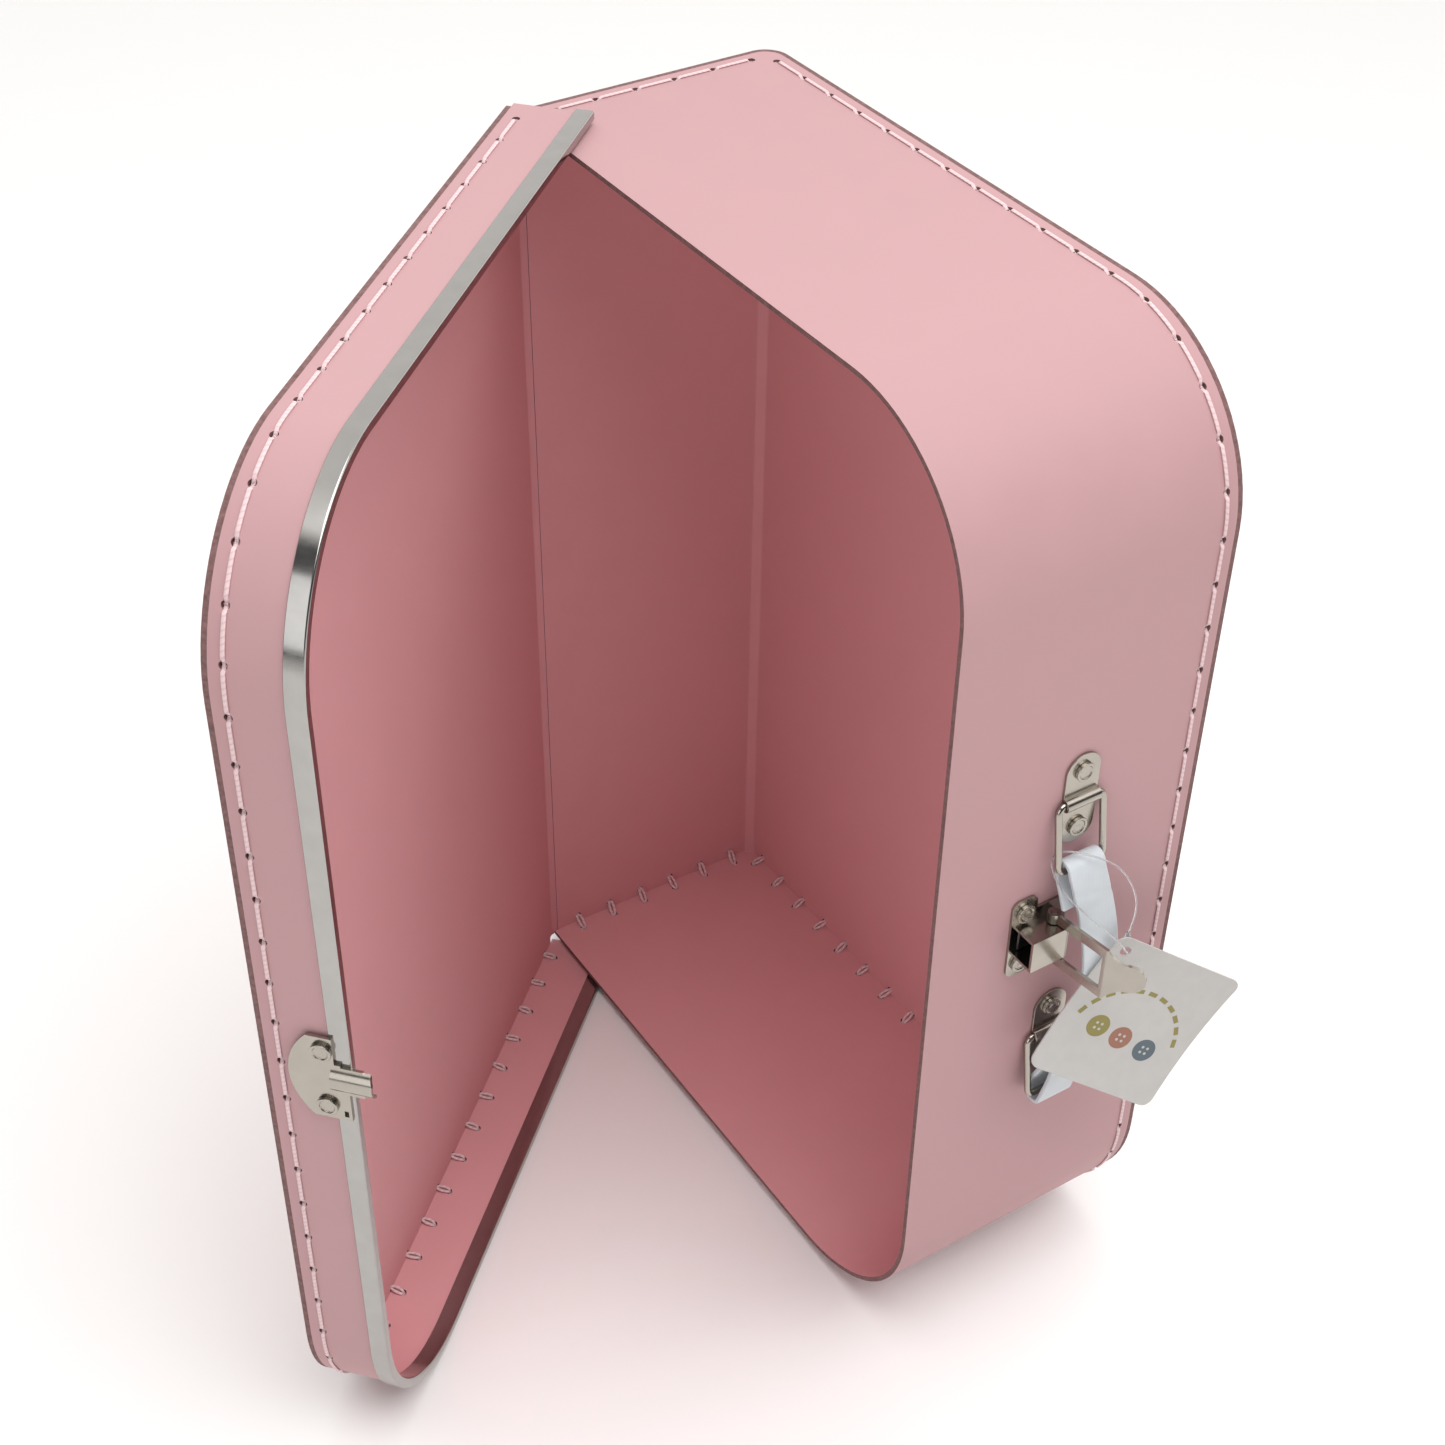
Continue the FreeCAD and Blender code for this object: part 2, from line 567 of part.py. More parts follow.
def latch_housing():
    """Latch plate with two riveted ears and a bent-up box that the strike's tongue slides into."""
    x0 = CASE_WIDTH
    x1 = x0 + SHEET
    half = LATCH_PLATE_LENGTH / 2
    ear = box(x0, x1, LATCH_EAR_Y, LATCH_EAR_Y + LATCH_EAR_WIDTH, HARDWARE_Z - half, HARDWARE_Z + half)
    ear = ear.makeFillet(EAR_CORNER, [e for e in ear.Edges if abs(e.Length - SHEET) < EPS])
    pin_hole = cylinder(PIN_RADIUS, lever_pin_point(-HOUSING_WIDTH), lever_pin_point(HOUSING_WIDTH))
    shape = fuse([ear, latch_back_plate(x0, x1), latch_cover(x1, x0 + HOUSING_HEIGHT)])
    return shape.cut([pin_hole] + rivet_holes(latch_rivet_points(), 2 * BOARD))


def lever_pin_point(z):
    return V(CASE_WIDTH + PIN_HEIGHT, PIN_Y, HARDWARE_Z + z)


def latch_pin():
    reach = KNUCKLE_OUTER + PIN_OVERHANG
    return cylinder(PIN_RADIUS, lever_pin_point(-reach), lever_pin_point(reach))


def latch_spring():
    """Leaf spring inside the housing, arched towards the pin's middle."""
    x0 = CASE_WIDTH + SHEET
    half = HOUSING_WIDTH / 2 - SHEET - SPRING_SIDE_GAP
    crest = x0 + PIN_HEIGHT - SHEET - PIN_RADIUS - SPRING_PIN_GAP
    points = [V(x0, HOUSING_Y + SPRING_INSET, 0), V(x0, PIN_Y - SPRING_FOOT, 0), V(crest, PIN_Y, 0),
              V(x0, PIN_Y + SPRING_FOOT, 0)]
    upper = [p.add(X_AXIS * SPRING_SHEET) for p in reversed(points)]
    outline = [p.add(Z_AXIS * (HARDWARE_Z - half)) for p in points + upper]
    return polygon_prism(outline, Z_AXIS * (2 * half))


def lever_frame():
    """Lever's flat outline before its tab is bent: (distance from pin, height) with window."""
    outer = KNUCKLE_OUTER
    arms = box(0, LEVER_WINDOW_END + 1, -LEVER_SHEET / 2, LEVER_SHEET / 2, -outer, outer)
    window = box(-1, LEVER_WINDOW_END, -LEVER_SHEET, LEVER_SHEET, -KNUCKLE_INNER, KNUCKLE_INNER)
    return arms.cut(window)


def lever_tab():
    """Thumb tab, broad at the frame and round at its end."""
    face = -LEVER_SHEET / 2
    neck = KNUCKLE_OUTER
    tip = TAB_LENGTH - TAB_TIP_RADIUS
    shoulder = tip * TAB_SHOULDER_ALONG
    hollow = V(tip * TAB_HOLLOW_ALONG, face, neck * TAB_HOLLOW_ACROSS)
    waist = TAB_TIP_RADIUS
    points = [V(0, face, neck), V(0, face, -neck), V(shoulder, face, -waist), V(tip, face, -waist),
              V(TAB_LENGTH, face, 0), V(tip, face, waist), V(shoulder, face, waist)]
    edges = [Part.makeLine(points[0], points[1]),
             Part.Arc(points[1], V(hollow.x, face, -hollow.z), points[2]).toShape(),
             Part.makeLine(points[2], points[3]), Part.Arc(points[3], points[4], points[5]).toShape(),
             Part.makeLine(points[5], points[6]), Part.Arc(points[6], hollow, points[0]).toShape()]
    tab = Part.Face(Part.Wire(edges)).extrude(V(0, LEVER_SHEET, 0))
    tab.rotate(V(0, 0, 0), Z_AXIS, TAB_BEND_DEG)
    tab.translate(V(LEVER_WINDOW_END + 1, 0, 0))
    return tab


def latch_lever():
    """Framed lever with a knuckle on each arm; its window clears the housing and the tongue."""
    knuckles = [cylinder(KNUCKLE_RADIUS, V(0, 0, side * KNUCKLE_INNER), V(0, 0, side * KNUCKLE_OUTER))
                for side in (-1, 1)]
    bend_x = LEVER_WINDOW_END + 1
    bend = cylinder(LEVER_SHEET / 2, V(bend_x, 0, -KNUCKLE_OUTER), V(bend_x, 0, KNUCKLE_OUTER))
    shape = fuse([lever_frame(), lever_tab(), bend] + knuckles)
    hole = cylinder(PIN_RADIUS + PIN_CLEARANCE, V(0, 0, -2 * KNUCKLE_OUTER), V(0, 0, 2 * KNUCKLE_OUTER))
    shape = shape.cut(hole)
    shape.rotate(V(0, 0, 0), Z_AXIS, LEVER_LEAN_DEG)
    shape.translate(lever_pin_point(0))
    return shape


def latch_rivets():
    points = [p.add(X_AXIS * SHEET) for p in latch_rivet_points()]
    return Part.makeCompound([rivet(p, SHEET + BOARD) for p in points])


# ---- handle ----
def handle_plate(centre_z):
    """Pill-shaped plate with a raised bridge over the ring's pivot bar."""
    x0 = CASE_WIDTH
    half = PLATE_LENGTH / 2 - PLATE_WIDTH / 2
    reach = PLATE_WIDTH / 2
    body = box(x0, x0 + SHEET, HANDLE_Y - reach, HANDLE_Y + reach, centre_z - half, centre_z + half)
    ends = [cylinder(PLATE_WIDTH / 2, V(x0, HANDLE_Y, centre_z + z), V(x0 + SHEET, HANDLE_Y, centre_z + z))
            for z in (-half, half)]
    left = V(PIVOT_X, HANDLE_Y - PLATE_WIDTH / 2, centre_z)
    right = V(PIVOT_X, HANDLE_Y + PLATE_WIDTH / 2, centre_z)
    tunnel_radius = WIRE_RADIUS + BRIDGE_CLEARANCE
    bridge = cylinder(tunnel_radius + SHEET, left, right)
    bridge = bridge.common(box(x0, x0 + PLATE_WIDTH, left.y, right.y, centre_z - reach, centre_z + reach))
    tunnel = cylinder(tunnel_radius, left.sub(Y_AXIS), right.add(Y_AXIS))
    slot = box(x0 - 1, PIVOT_X, left.y - 1, right.y + 1, centre_z - tunnel_radius, centre_z + tunnel_radius)
    plate = fuse([body, bridge] + ends).cut([tunnel, slot])
    return plate.cut(rivet_holes(handle_rivet_points(), 2 * BOARD))


def handle_ring(centre_z):
    """Wire ring hanging from its pivot bar: one half swept along its wire, then mirrored."""
    half = RING_HALF_WIDTH
    r = RING_CORNER
    k = r * (1 - math.sqrt(0.5))
    reach = RING_REACH
    path = [Part.makeLine(V(0, 0, 0), V(0, half - r, 0)),
            Part.Arc(V(0, half - r, 0), V(0, half - k, -k), V(0, half, -r)).toShape(),
            Part.makeLine(V(0, half, -r), V(0, half, r - reach)),
            Part.Arc(V(0, half, r - reach), V(0, half - k, k - reach), V(0, half - r, -reach)).toShape(),
            Part.makeLine(V(0, half - r, -reach), V(0, 0, -reach))]
    section = Part.Wire(Part.makeCircle(WIRE_RADIUS, V(0, 0, 0), Y_AXIS))
    near = Part.Wire(path).makePipeShell([section], True, False)
    ring = fuse([near, near.mirror(V(0, 0, 0), Y_AXIS)])
    ring.rotate(V(0, 0, 0), Y_AXIS, -RING_TILT_DEG)
    ring.translate(V(PIVOT_X, HANDLE_Y, centre_z))
    return ring


def bowed_band(ends, middles, sweep):
    """Solid between two arcs that share their end heights, extruded along sweep."""
    first = Part.Arc(ends[0], middles[0], ends[1]).toShape()
    second = Part.Arc(ends[2], middles[1], ends[3]).toShape()
    edges = [first, Part.makeLine(ends[1], ends[2]), second, Part.makeLine(ends[3], ends[0])]
    return Part.Face(Part.Wire(edges)).extrude(sweep)


def handle_strap():
    """Flexible band, turned round each ring's outer bar, bowed past the latch lever."""
    high_z = PLATE_CENTRES[0] - BAR_DZ
    low_z = PLATE_CENTRES[1] - BAR_DZ
    middle_z = (high_z + low_z) / 2
    half = STRAP_WIDTH / 2
    outer_x = PIVOT_X + BAR_DX + STRAP_EYE_OUTER - STRAP_EYE_BITE
    inner_x = outer_x - STRAP_THICKNESS
    y0 = HANDLE_Y - half
    y1 = HANDLE_Y + half
    side_ends = [V(outer_x, 0, low_z), V(outer_x, 0, high_z), V(inner_x, 0, high_z), V(inner_x, 0, low_z)]
    side_middles = [V(outer_x + STRAP_RISE, 0, middle_z), V(inner_x + STRAP_RISE, 0, middle_z)]
    x0 = CASE_WIDTH
    front_ends = [V(x0, y0, low_z), V(x0, y0, high_z), V(x0, y1, high_z), V(x0, y1, low_z)]
    front_middles = [V(x0, y0 + STRAP_SWAY, middle_z), V(x0, y1 + STRAP_SWAY, middle_z)]
    band = bowed_band(side_ends, side_middles, Y_AXIS * CASE_DEPTH)
    band = band.common(bowed_band(front_ends, front_middles, X_AXIS * CASE_DEPTH))
    eyes = []
    bores = []
    for z in (high_z, low_z):
        centre = V(PIVOT_X + BAR_DX, HANDLE_Y, z)
        reach = Y_AXIS * half
        eyes.append(cylinder(STRAP_EYE_OUTER, centre.sub(reach), centre.add(reach)))
        bores.append(cylinder(STRAP_EYE_INNER, centre.sub(reach * 1.2), centre.add(reach * 1.2)))
    return band.fuse(eyes).cut(bores)


def handle_rivets():
    points = [p.add(X_AXIS * SHEET) for p in handle_rivet_points()]
    return Part.makeCompound([rivet(p, SHEET + BOARD) for p in points])


# ---- paper tag on its nylon loop ----
def tag_place(across, down, out):
    return TAG_TOP.add(TAG_ACROSS * across).add(TAG_DOWN * down).add(TAG_OUT * out)


def tag_card():
    """Rounded card, slightly bowed, with a punched hole near its top corner."""
    half = TAG_THICKNESS / 2
    faces = []
    for side in (-half, half):
        middle = tag_place(0, TAG_HEIGHT / 2, side - TAG_BEND)
        faces.append([tag_place(0, 0, side), middle, tag_place(0, TAG_HEIGHT, side)])
    back, front = faces
    edges = [Part.Arc(back[0], back[1], back[2]).toShape(), Part.makeLine(back[2], front[2]),
             Part.Arc(front[2], front[1], front[0]).toShape(), Part.makeLine(front[0], back[0])]
    card = Part.Face(Part.Wire(edges)).extrude(TAG_ACROSS * TAG_WIDTH)
    corners = [e for e in card.Edges if abs(e.Length - TAG_THICKNESS) < TAG_THICKNESS / 10]
    card = card.makeFillet(TAG_CORNER, corners)
    hole_at = tag_place(TAG_HOLE_INSET, TAG_HOLE_INSET, 0)
    hole = cylinder(TAG_HOLE_RADIUS, hole_at.sub(TAG_OUT * 3), hole_at.add(TAG_OUT * 3))
    return card.cut(hole)


def cord_path(points):
    """Straight runs joined by tangent arcs; returns the edges and the arcs' radii."""
    edges = []
    radii = []
    start = points[0]
    for before, corner, after in zip(points, points[1:], points[2:]):
        into = corner.sub(before)
        out = after.sub(corner)
        half_turn = into.getAngle(out) / 2
        setback = LOOP_SETBACK * min(into.Length, out.Length)
        radius = setback / math.tan(half_turn)
        into.normalize()
        out.normalize()
        arc_start = corner.sub(into * setback)
        arc_end = corner.add(out * setback)
        bisector = V(out.sub(into)).normalize()
        middle = corner.add(bisector * (radius / math.cos(half_turn) - radius))
        edges.append(Part.makeLine(start, arc_start))
        edges.append(Part.Arc(arc_start, middle, arc_end).toShape())
        radii.append(radius)
        start = arc_end
    edges.append(Part.makeLine(start, points[-1]))
    return edges, radii


def tag_loop():
    """Nylon loop: through the card, round the ring's side, over the strap's end, back to its lock."""
    down = LOOP_ROUTE[0].sub(LOCK_PLACE).normalize()
    up = LOOP_ROUTE[-1].sub(LOCK_PLACE).normalize()
    ends = [LOCK_PLACE.add(down * LOCK_CLEARANCE * 2), LOCK_PLACE.add(up * LOCK_CLEARANCE * 2)]
    edges, radii = cord_path([ends[0]] + LOOP_ROUTE + [ends[1]])
    wire = Part.Wire(edges)
    section = Part.Wire(Part.makeCircle(LOOP_RADIUS, ends[0], down))
    tube = wire.makePipeShell([section], True, False)
    print("tag_loop radii", [round(r, 2) for r in radii])
    print("tag_loop length", round(wire.Length, 2), "volume", round(tube.Volume, 4), "section x length",
          round(wire.Length * math.pi * LOOP_RADIUS ** 2, 4))
    return tube


def tag_loop_lock():
    """Bead that holds the loop's two ends."""
    axis = LOOP_ROUTE[-1].sub(LOOP_ROUTE[0]).normalize()
    reach = axis * (LOCK_LENGTH / 2)
    bead = cylinder(LOCK_RADIUS, LOCK_PLACE.sub(reach), LOCK_PLACE.add(reach))
    bead = bead.makeFillet(LOCK_ROUND, [e for e in bead.Edges if e.Closed])
    bores = []
    for point in (LOOP_ROUTE[0], LOOP_ROUTE[-1]):
        way = point.sub(LOCK_PLACE).normalize()
        bores.append(cylinder(LOOP_RADIUS + LOCK_CLEARANCE, LOCK_PLACE, LOCK_PLACE.add(way * LOCK_LENGTH)))
    return bead.cut(bores)


CASE_NODES = {
    "base_shell": base_shell,
    "base_wall": base_wall,
    "base_outer_stitches": base_stitches_outer,
    "base_inner_stitches": base_stitches_inner,
    "hinge_crease": hinge_crease,
    "latch_housing": latch_housing,
    "latch_pin": latch_pin,
    "latch_spring": latch_spring,
    "latch_lever": latch_lever,
    "latch_rivets": latch_rivets,
    "handle_strap": handle_strap,
    "handle_rivets": handle_rivets,
}
LID_NODES = {
    "lid_panel": lid_panel,
    "lid_rim": lid_rim,
    "lid_edge_trim": lid_edge_trim,
    "lid_outer_stitches": lid_stitches_outer,
    "lid_inner_stitches": lid_stitches_inner,
    "strike_plate": strike_plate,
    "strike_rivets": strike_rivets,
}
CORD_NODES = {
    "tag_card": tag_card,
    "tag_loop": tag_loop,
    "tag_loop_lock": tag_loop_lock,
}


def build_nodes():
    nodes = {name: make() for name, make in CASE_NODES.items()}
    for name, make in LID_NODES.items():
        nodes[name] = to_lid_place(make())
    for place, centre_z in zip(("upper", "lower"), PLATE_CENTRES):
        nodes[place + "_handle_plate"] = handle_plate(centre_z)
        nodes[place + "_ring"] = handle_ring(centre_z)
    extents = Part.makeCompound(list(nodes.values())).optimalBoundingBox(True, False)
    for name, make in CORD_NODES.items():
        nodes[name] = make()
    return nodes, extents


def main():
    os.makedirs("parts", exist_ok=True)
    nodes, extents = build_nodes()
    shift = V(-extents.Center.x, -extents.Center.y, -extents.ZMin)
    print("shift", [round(c, 4) for c in shift])
    for name, shape in nodes.items():
        shape.translate(shift)
        shape.exportStep("parts/" + name + ".step")


if __name__ == "__main__":
    main()
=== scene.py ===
import math

import bpy
from bpy.props import FloatProperty, FloatVectorProperty, PointerProperty
from mathutils import Matrix, Vector


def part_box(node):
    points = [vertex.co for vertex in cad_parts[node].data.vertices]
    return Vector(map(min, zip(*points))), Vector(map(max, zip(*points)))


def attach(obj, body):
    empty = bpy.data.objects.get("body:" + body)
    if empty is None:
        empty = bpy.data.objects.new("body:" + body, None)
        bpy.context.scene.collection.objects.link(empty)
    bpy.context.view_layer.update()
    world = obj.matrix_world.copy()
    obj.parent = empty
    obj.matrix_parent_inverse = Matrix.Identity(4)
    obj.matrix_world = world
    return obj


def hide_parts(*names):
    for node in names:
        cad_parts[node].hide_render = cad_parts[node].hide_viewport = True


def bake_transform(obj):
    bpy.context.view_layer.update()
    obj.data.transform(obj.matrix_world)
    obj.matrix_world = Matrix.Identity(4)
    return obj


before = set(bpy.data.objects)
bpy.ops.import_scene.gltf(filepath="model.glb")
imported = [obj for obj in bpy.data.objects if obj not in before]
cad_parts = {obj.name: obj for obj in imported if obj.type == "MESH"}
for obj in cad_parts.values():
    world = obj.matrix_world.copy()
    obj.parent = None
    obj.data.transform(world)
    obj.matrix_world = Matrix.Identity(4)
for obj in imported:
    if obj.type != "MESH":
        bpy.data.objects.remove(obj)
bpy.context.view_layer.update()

bl_info = {
    "name": "Stitched Fibreboard Case",
    "version": (1, 0, 0),
    "blender": (4, 5, 0),
    "location": "View3D > Sidebar > Case",
    "description": "Builds the looks of a stitched fibreboard case around its packed frame",
    "category": "Object",
}

MM = 0.001

# ---- sizes repeated from the part's source, in millimetres ----
WIDTH = 200.0
LENGTH = 300.0
DEPTH = 81.5
BOARD = 1.4
FOLD = 7.0
BASE_CORNER = 46.0
LID_CORNER = 45.5
LID_MARGIN_X = 4.0
LID_MARGIN_Z = 3.0
CREASE_GAP = 0.05
HINGE = Vector((0.7, -1.3, 0.0))
LID_ANGLE = math.radians(47.5)
CREASE_REACH = 2.5
SEAM_START = 9.3
SEAM_WALL = 5.0
SEAM_PANEL = 2.8
SEAM_SPINE = 4.2
SEAM_LID = 2.2
STITCHES = 50
SPINE_STITCHES = 6
HARDWARE_Z = 149.0
HANDLE_Y = 41.6
PLATES_Z = (189.5, 108.5)
PLATE_RIVETS = 8.8
BAR = Vector((204.15, HANDLE_Y, 0.0))
BARS_Z = (170.24, 89.24)
SHEET = 0.8
STRIKE_LIFT = 0.72
LID_DEPTH = 22.7
TRIM_WIDTH = 5.0
TRIM_SHEET = 0.6
TRIM_FIT = 0.08
RIM_START = 0.6
LATCH_RIVETS_Y = 28.2
LATCH_RIVETS = 8.6
STRIKE_RIVETS_Y = 15.9
STRIKE_RIVETS = 9.25
STRAP_WIDTH = 11.4
STRAP_SWAY = 7.1
STRAP_RISE = 2.6
EYE_RADIUS = 2.62

# ---- sizes of the finish, in millimetres ----
THREAD_DIP = 1.1          # how far a stitch sinks into its holes
THREAD_SLOPE = 1.5        # length over which it sinks
PLY_PITCH = 1.5
LOOP_WIDTH = 1.0          # one strand of an inside stitch
LOOP_FLAT = 0.85
TRIM_ROUND = 0.15         # broken corners of the channel's legs
TRIM_BEND_STEPS = 30
CREASE_THICK = 0.95
CREASE_DENT = 0.22        # the crease's middle, pressed inwards
RIVET_HEAD = 2.75
RIVET_DOME = 1.05
RIVET_SHANK = 1.3
RIVET_TAIL = 2.45
STRIKE_TAIL = 1.65        # smaller, to miss the edging
TAIL_HEIGHT = 0.8
RIVET_RINGS = ((0.0, 0.75), (-0.34, 0.16), (0.12, 0.7), (-0.1, 0.35))   # depth and inset of each step
EYE_TURN = 195.0          # degrees of the strap's turn round a ring
EYE_POINTS = 13
BAND_STEPS = 40
STRAP_TAIL = ((1.9, 12.0), (-0.1, 7.5), (-1.9, 3.8))    # out from the bar, and away from the eye
FRONT_START = len(STRAP_TAIL) + EYE_POINTS - 1
FRONT_END = FRONT_START + BAND_STEPS
# where a fold starts down the band, its slope across it, and its depth
STRAP_FOLDS = ((0.30, 0.16, 0.35), (0.50, -0.15, 0.40), (0.10, 0.03, 0.22), (0.88, -0.03, 0.22))
FOLD_REACH = 0.013

TAG_TOP = Vector((213.0, 51.4, 148.0))
TAG_ACROSS = Vector((14.0, 32.4, -22.8)).normalized()
TAG_OUT = -(TAG_ACROSS.cross(Vector((-3.0, -25.4, -36.3)))).normalized()
TAG_DOWN = TAG_ACROSS.cross(TAG_OUT).normalized()
TAG_HEIGHT = 44.0
TAG_BEND = 1.6
PRINT_LIFT = 0.27         # ink above the card's middle surface
INK = 0.02
ARC_CENTRE = (21.0, 30.0)
ARC_RADIUS = 17.0
DASHES = 11
DASH_LENGTH = 2.6
DASH_WIDTH = 1.3
BUTTONS = (("olive", 12.5, 27.0), ("brown", 21.0, 28.0), ("slate", 30.0, 29.0))
BUTTON_RADIUS = 3.4
BUTTON_HOLE = 0.42
LINE_RADIUS = 0.25
LOCK = Vector((212.5, 53.6, 146.2))
LOOP_ROUTE = [(212.34, 52.94, 142.19), (216.39, 51.61, 142.78), (214.8, 47.5, 149.8), (210.8, 38.8, 160.0),
              (207.2, 32.9, 168.2), (201.7, 32.9, 173.6), (201.9, 36.8, 175.6), (207.2, 42.5, 175.0),
              (210.8, 49.5, 170.5), (213.4, 54.0, 160.5), (213.0, 54.6, 151.0)]

# ---- stage ----
FLOOR_SIZE = 12.0
SKY_SIDE = Vector((-0.35, 0.45, 0.8)).normalized()
SKY = ((0.37, (0.08, 0.08, 0.083, 1.0)), (0.5, (1.2, 1.18, 1.16, 1.0)), (0.8, (0.8, 0.79, 0.78, 1.0)))
SKY_STRENGTH = 1.35
# name, place, aim, size and power of each soft lamp
LAMPS = (("overhead_softbox", (0.35, 0.1, 1.15), (0.02, 0.0, 0.15), 0.9, 7.2),
         ("front_fill", (0.9, -1.4, 0.9), (0.0, 0.0, 0.12), 1.2, 7.0))
LENS = 58.56
SENSOR = 36.0
CAMERA = (516.99, -271.15, 565.87)
CAMERA_RIGHT = Vector((0.54024, 0.84142, 0.01254))
CAMERA_DOWN = Vector((0.53605, -0.33261, -0.77590))
CAMERA_FORWARD = Vector((-0.64869, 0.42589, -0.63073))

# case millimetres to the frame: the spine's outside, the opening and the lower end are its zeros
SHELL_LOW, SHELL_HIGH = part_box("base_shell")
ORIGIN = Vector((SHELL_LOW.x, SHELL_HIGH.y - DEPTH * MM, SHELL_LOW.z))


def case(x, y, z):
    """A point given in case millimetres, in the frame's metres."""
    return ORIGIN + Vector((x, y, z)) * MM


def lid_direction(u, v, z=0.0):
    turn = Matrix.Rotation(-LID_ANGLE, 3, "Z")
    return turn @ Vector((u, v, z))


def lid(u, v, z):
    """A point of the lid, drawn closed about the hinge line, where it stands open."""
    return ORIGIN + (HINGE + lid_direction(u, v, z)) * MM


def case_of(point):
    return (point - ORIGIN) / MM


def lid_of(point):
    turn = Matrix.Rotation(LID_ANGLE, 3, "Z")
    return turn @ (case_of(point) - HINGE)


class Outline:
    """Three sewn sides: top run, corner, long side, corner, bottom run, from the hinge."""

    def __init__(self, start, far, low, high, radius, panel_y, way, inset):
        self.start, self.far, self.low, self.high, self.radius = start, far, low, high, radius
        self.panel_y, self.way, self.inset = panel_y, way, inset
        self.run = far - radius - start
        self.arc = radius * math.pi / 2
        self.side = high - low - 2 * radius
        self.length = 2 * self.run + 2 * self.arc + self.side

    def at(self, s, offset=0.0):
        """Point (x, z) at length s, moved out by offset, and the outward direction there."""
        reach = self.radius + offset
        centre_x = self.far - self.radius
        if s <= self.run:
            return (self.start + s, self.high + offset), (0.0, 1.0)
        s -= self.run
        if s <= self.arc:
            turn = math.pi / 2 - s / self.radius
            out = (math.cos(turn), math.sin(turn))
            return (centre_x + reach * out[0], self.high - self.radius + reach * out[1]), out
        s -= self.arc
        if s <= self.side:
            return (self.far + offset, self.high - self.radius - s), (1.0, 0.0)
        s -= self.side
        if s <= self.arc:
            turn = -s / self.radius
            out = (math.cos(turn), math.sin(turn))
            return (centre_x + reach * out[0], self.low + self.radius + reach * out[1]), out
        return (centre_x - (s - self.arc), self.low - offset), (0.0, -1.0)

    def outward(self, x, z):
        """Outward direction of the wall nearest to a point."""
        dx = max(x - (self.far - self.radius), 0.0)
        dz_high = max(z - (self.high - self.radius), 0.0)
        dz_low = max((self.low + self.radius) - z, 0.0)
        if dx <= 0.0:
            return Vector((0.0, 0.0, 1.0 if z > (self.low + self.high) / 2 else -1.0))
        return Vector((dx, 0.0, dz_high - dz_low)).normalized()

    def stops(self):
        first = SEAM_START - self.start
        pitch = (self.length - 2 * first) / STITCHES
        return [first + i * pitch for i in range(STITCHES + 1)]


BASE = Outline(BOARD, WIDTH, 0.0, LENGTH, BASE_CORNER, DEPTH, 1.0, SEAM_PANEL)
LID = Outline(CREASE_REACH + CREASE_GAP, WIDTH + LID_MARGIN_X - HINGE.x, -LID_MARGIN_Z, LENGTH + LID_MARGIN_Z,
              LID_CORNER, -BOARD / 2, -1.0, SEAM_LID)


def to_linear(code):
    """sRGB hex to the linear colour that a shader wants."""
    parts = [int(code[i:i + 2], 16) / 255 for i in (0, 2, 4)]
    return tuple(p / 12.92 if p <= 0.04045 else ((p + 0.055) / 1.055) ** 2.4 for p in parts)


# ---- settings a user would change ----
def colour(name, description, code):
    return FloatVectorProperty(name=name, description=description, default=to_linear(code),
                               subtype="COLOR", min=0.0, max=1.0)


class CaseSizes(bpy.types.PropertyGroup):
    metal_round: FloatProperty(name="Pressing edge rounding", description="Rounding of pressed sheet edges",
                               default=0.00018, min=0.00005, max=0.0003, unit="LENGTH")
    thread_width: FloatProperty(name="Thread width", description="Width of one waxed thread",
                                default=0.00115, min=0.0005, max=0.0015, unit="LENGTH")
    thread_height: FloatProperty(name="Thread height", description="Height of the pressed thread",
                                 default=0.0006, min=0.0003, max=0.0006, unit="LENGTH")
    strap_thickness: FloatProperty(name="Strap thickness", description="Thickness of the handle strap",
                                   default=0.0012, min=0.0008, max=0.0014, unit="LENGTH")


class CaseColours(bpy.types.PropertyGroup):
    outside: colour("Outside paper", "Facing paper of the outside", "bf9699")
    inside: colour("Inside paper", "Facing paper of the inside", "dda2a6")
    raw_edge: colour("Cut edge", "Cut edge of the grey board", "7d5d5c")
    thread: colour("Thread", "Waxed cotton thread", "e6c9cb")
    nickel: colour("Nickel", "Nickel plate on the pressings", "a9a39a")
    trim: colour("Trim steel", "Rolled steel edging", "a8a6a3")
    strap: colour("Strap", "Coated strap", "cdd3d8")
    card: colour("Card", "Tag card", "c1bebb")


def colours():
    return bpy.context.scene.case_colours


# ---- selection and mesh helpers ----
def deselect():
    if bpy.context.object and bpy.context.object.mode != "OBJECT":
        bpy.ops.object.mode_set(mode="OBJECT")
    bpy.ops.object.select_all(action="DESELECT")


def select_only(*objects):
    deselect()
    for item in objects:
        item.select_set(True)
    bpy.context.view_layer.objects.active = objects[0]


def edit(piece):
    select_only(piece)
    bpy.ops.object.mode_set(mode="EDIT")


def leave_edit():
    bpy.ops.object.mode_set(mode="OBJECT")


def apply_place(piece):
    select_only(piece)
    bpy.ops.object.transform_apply(location=True, rotation=True, scale=True)


def named(name):
    piece = bpy.context.object
    piece.name = name
    piece.data.name = name
    return piece


def join(pieces, name):
    select_only(*pieces)
    if len(pieces) > 1:
        bpy.ops.object.join()
    return named(name)


def point_outwards(piece):
    edit(piece)
    bpy.ops.mesh.select_all(action="SELECT")
    bpy.ops.mesh.normals_make_consistent(inside=False)
    leave_edit()


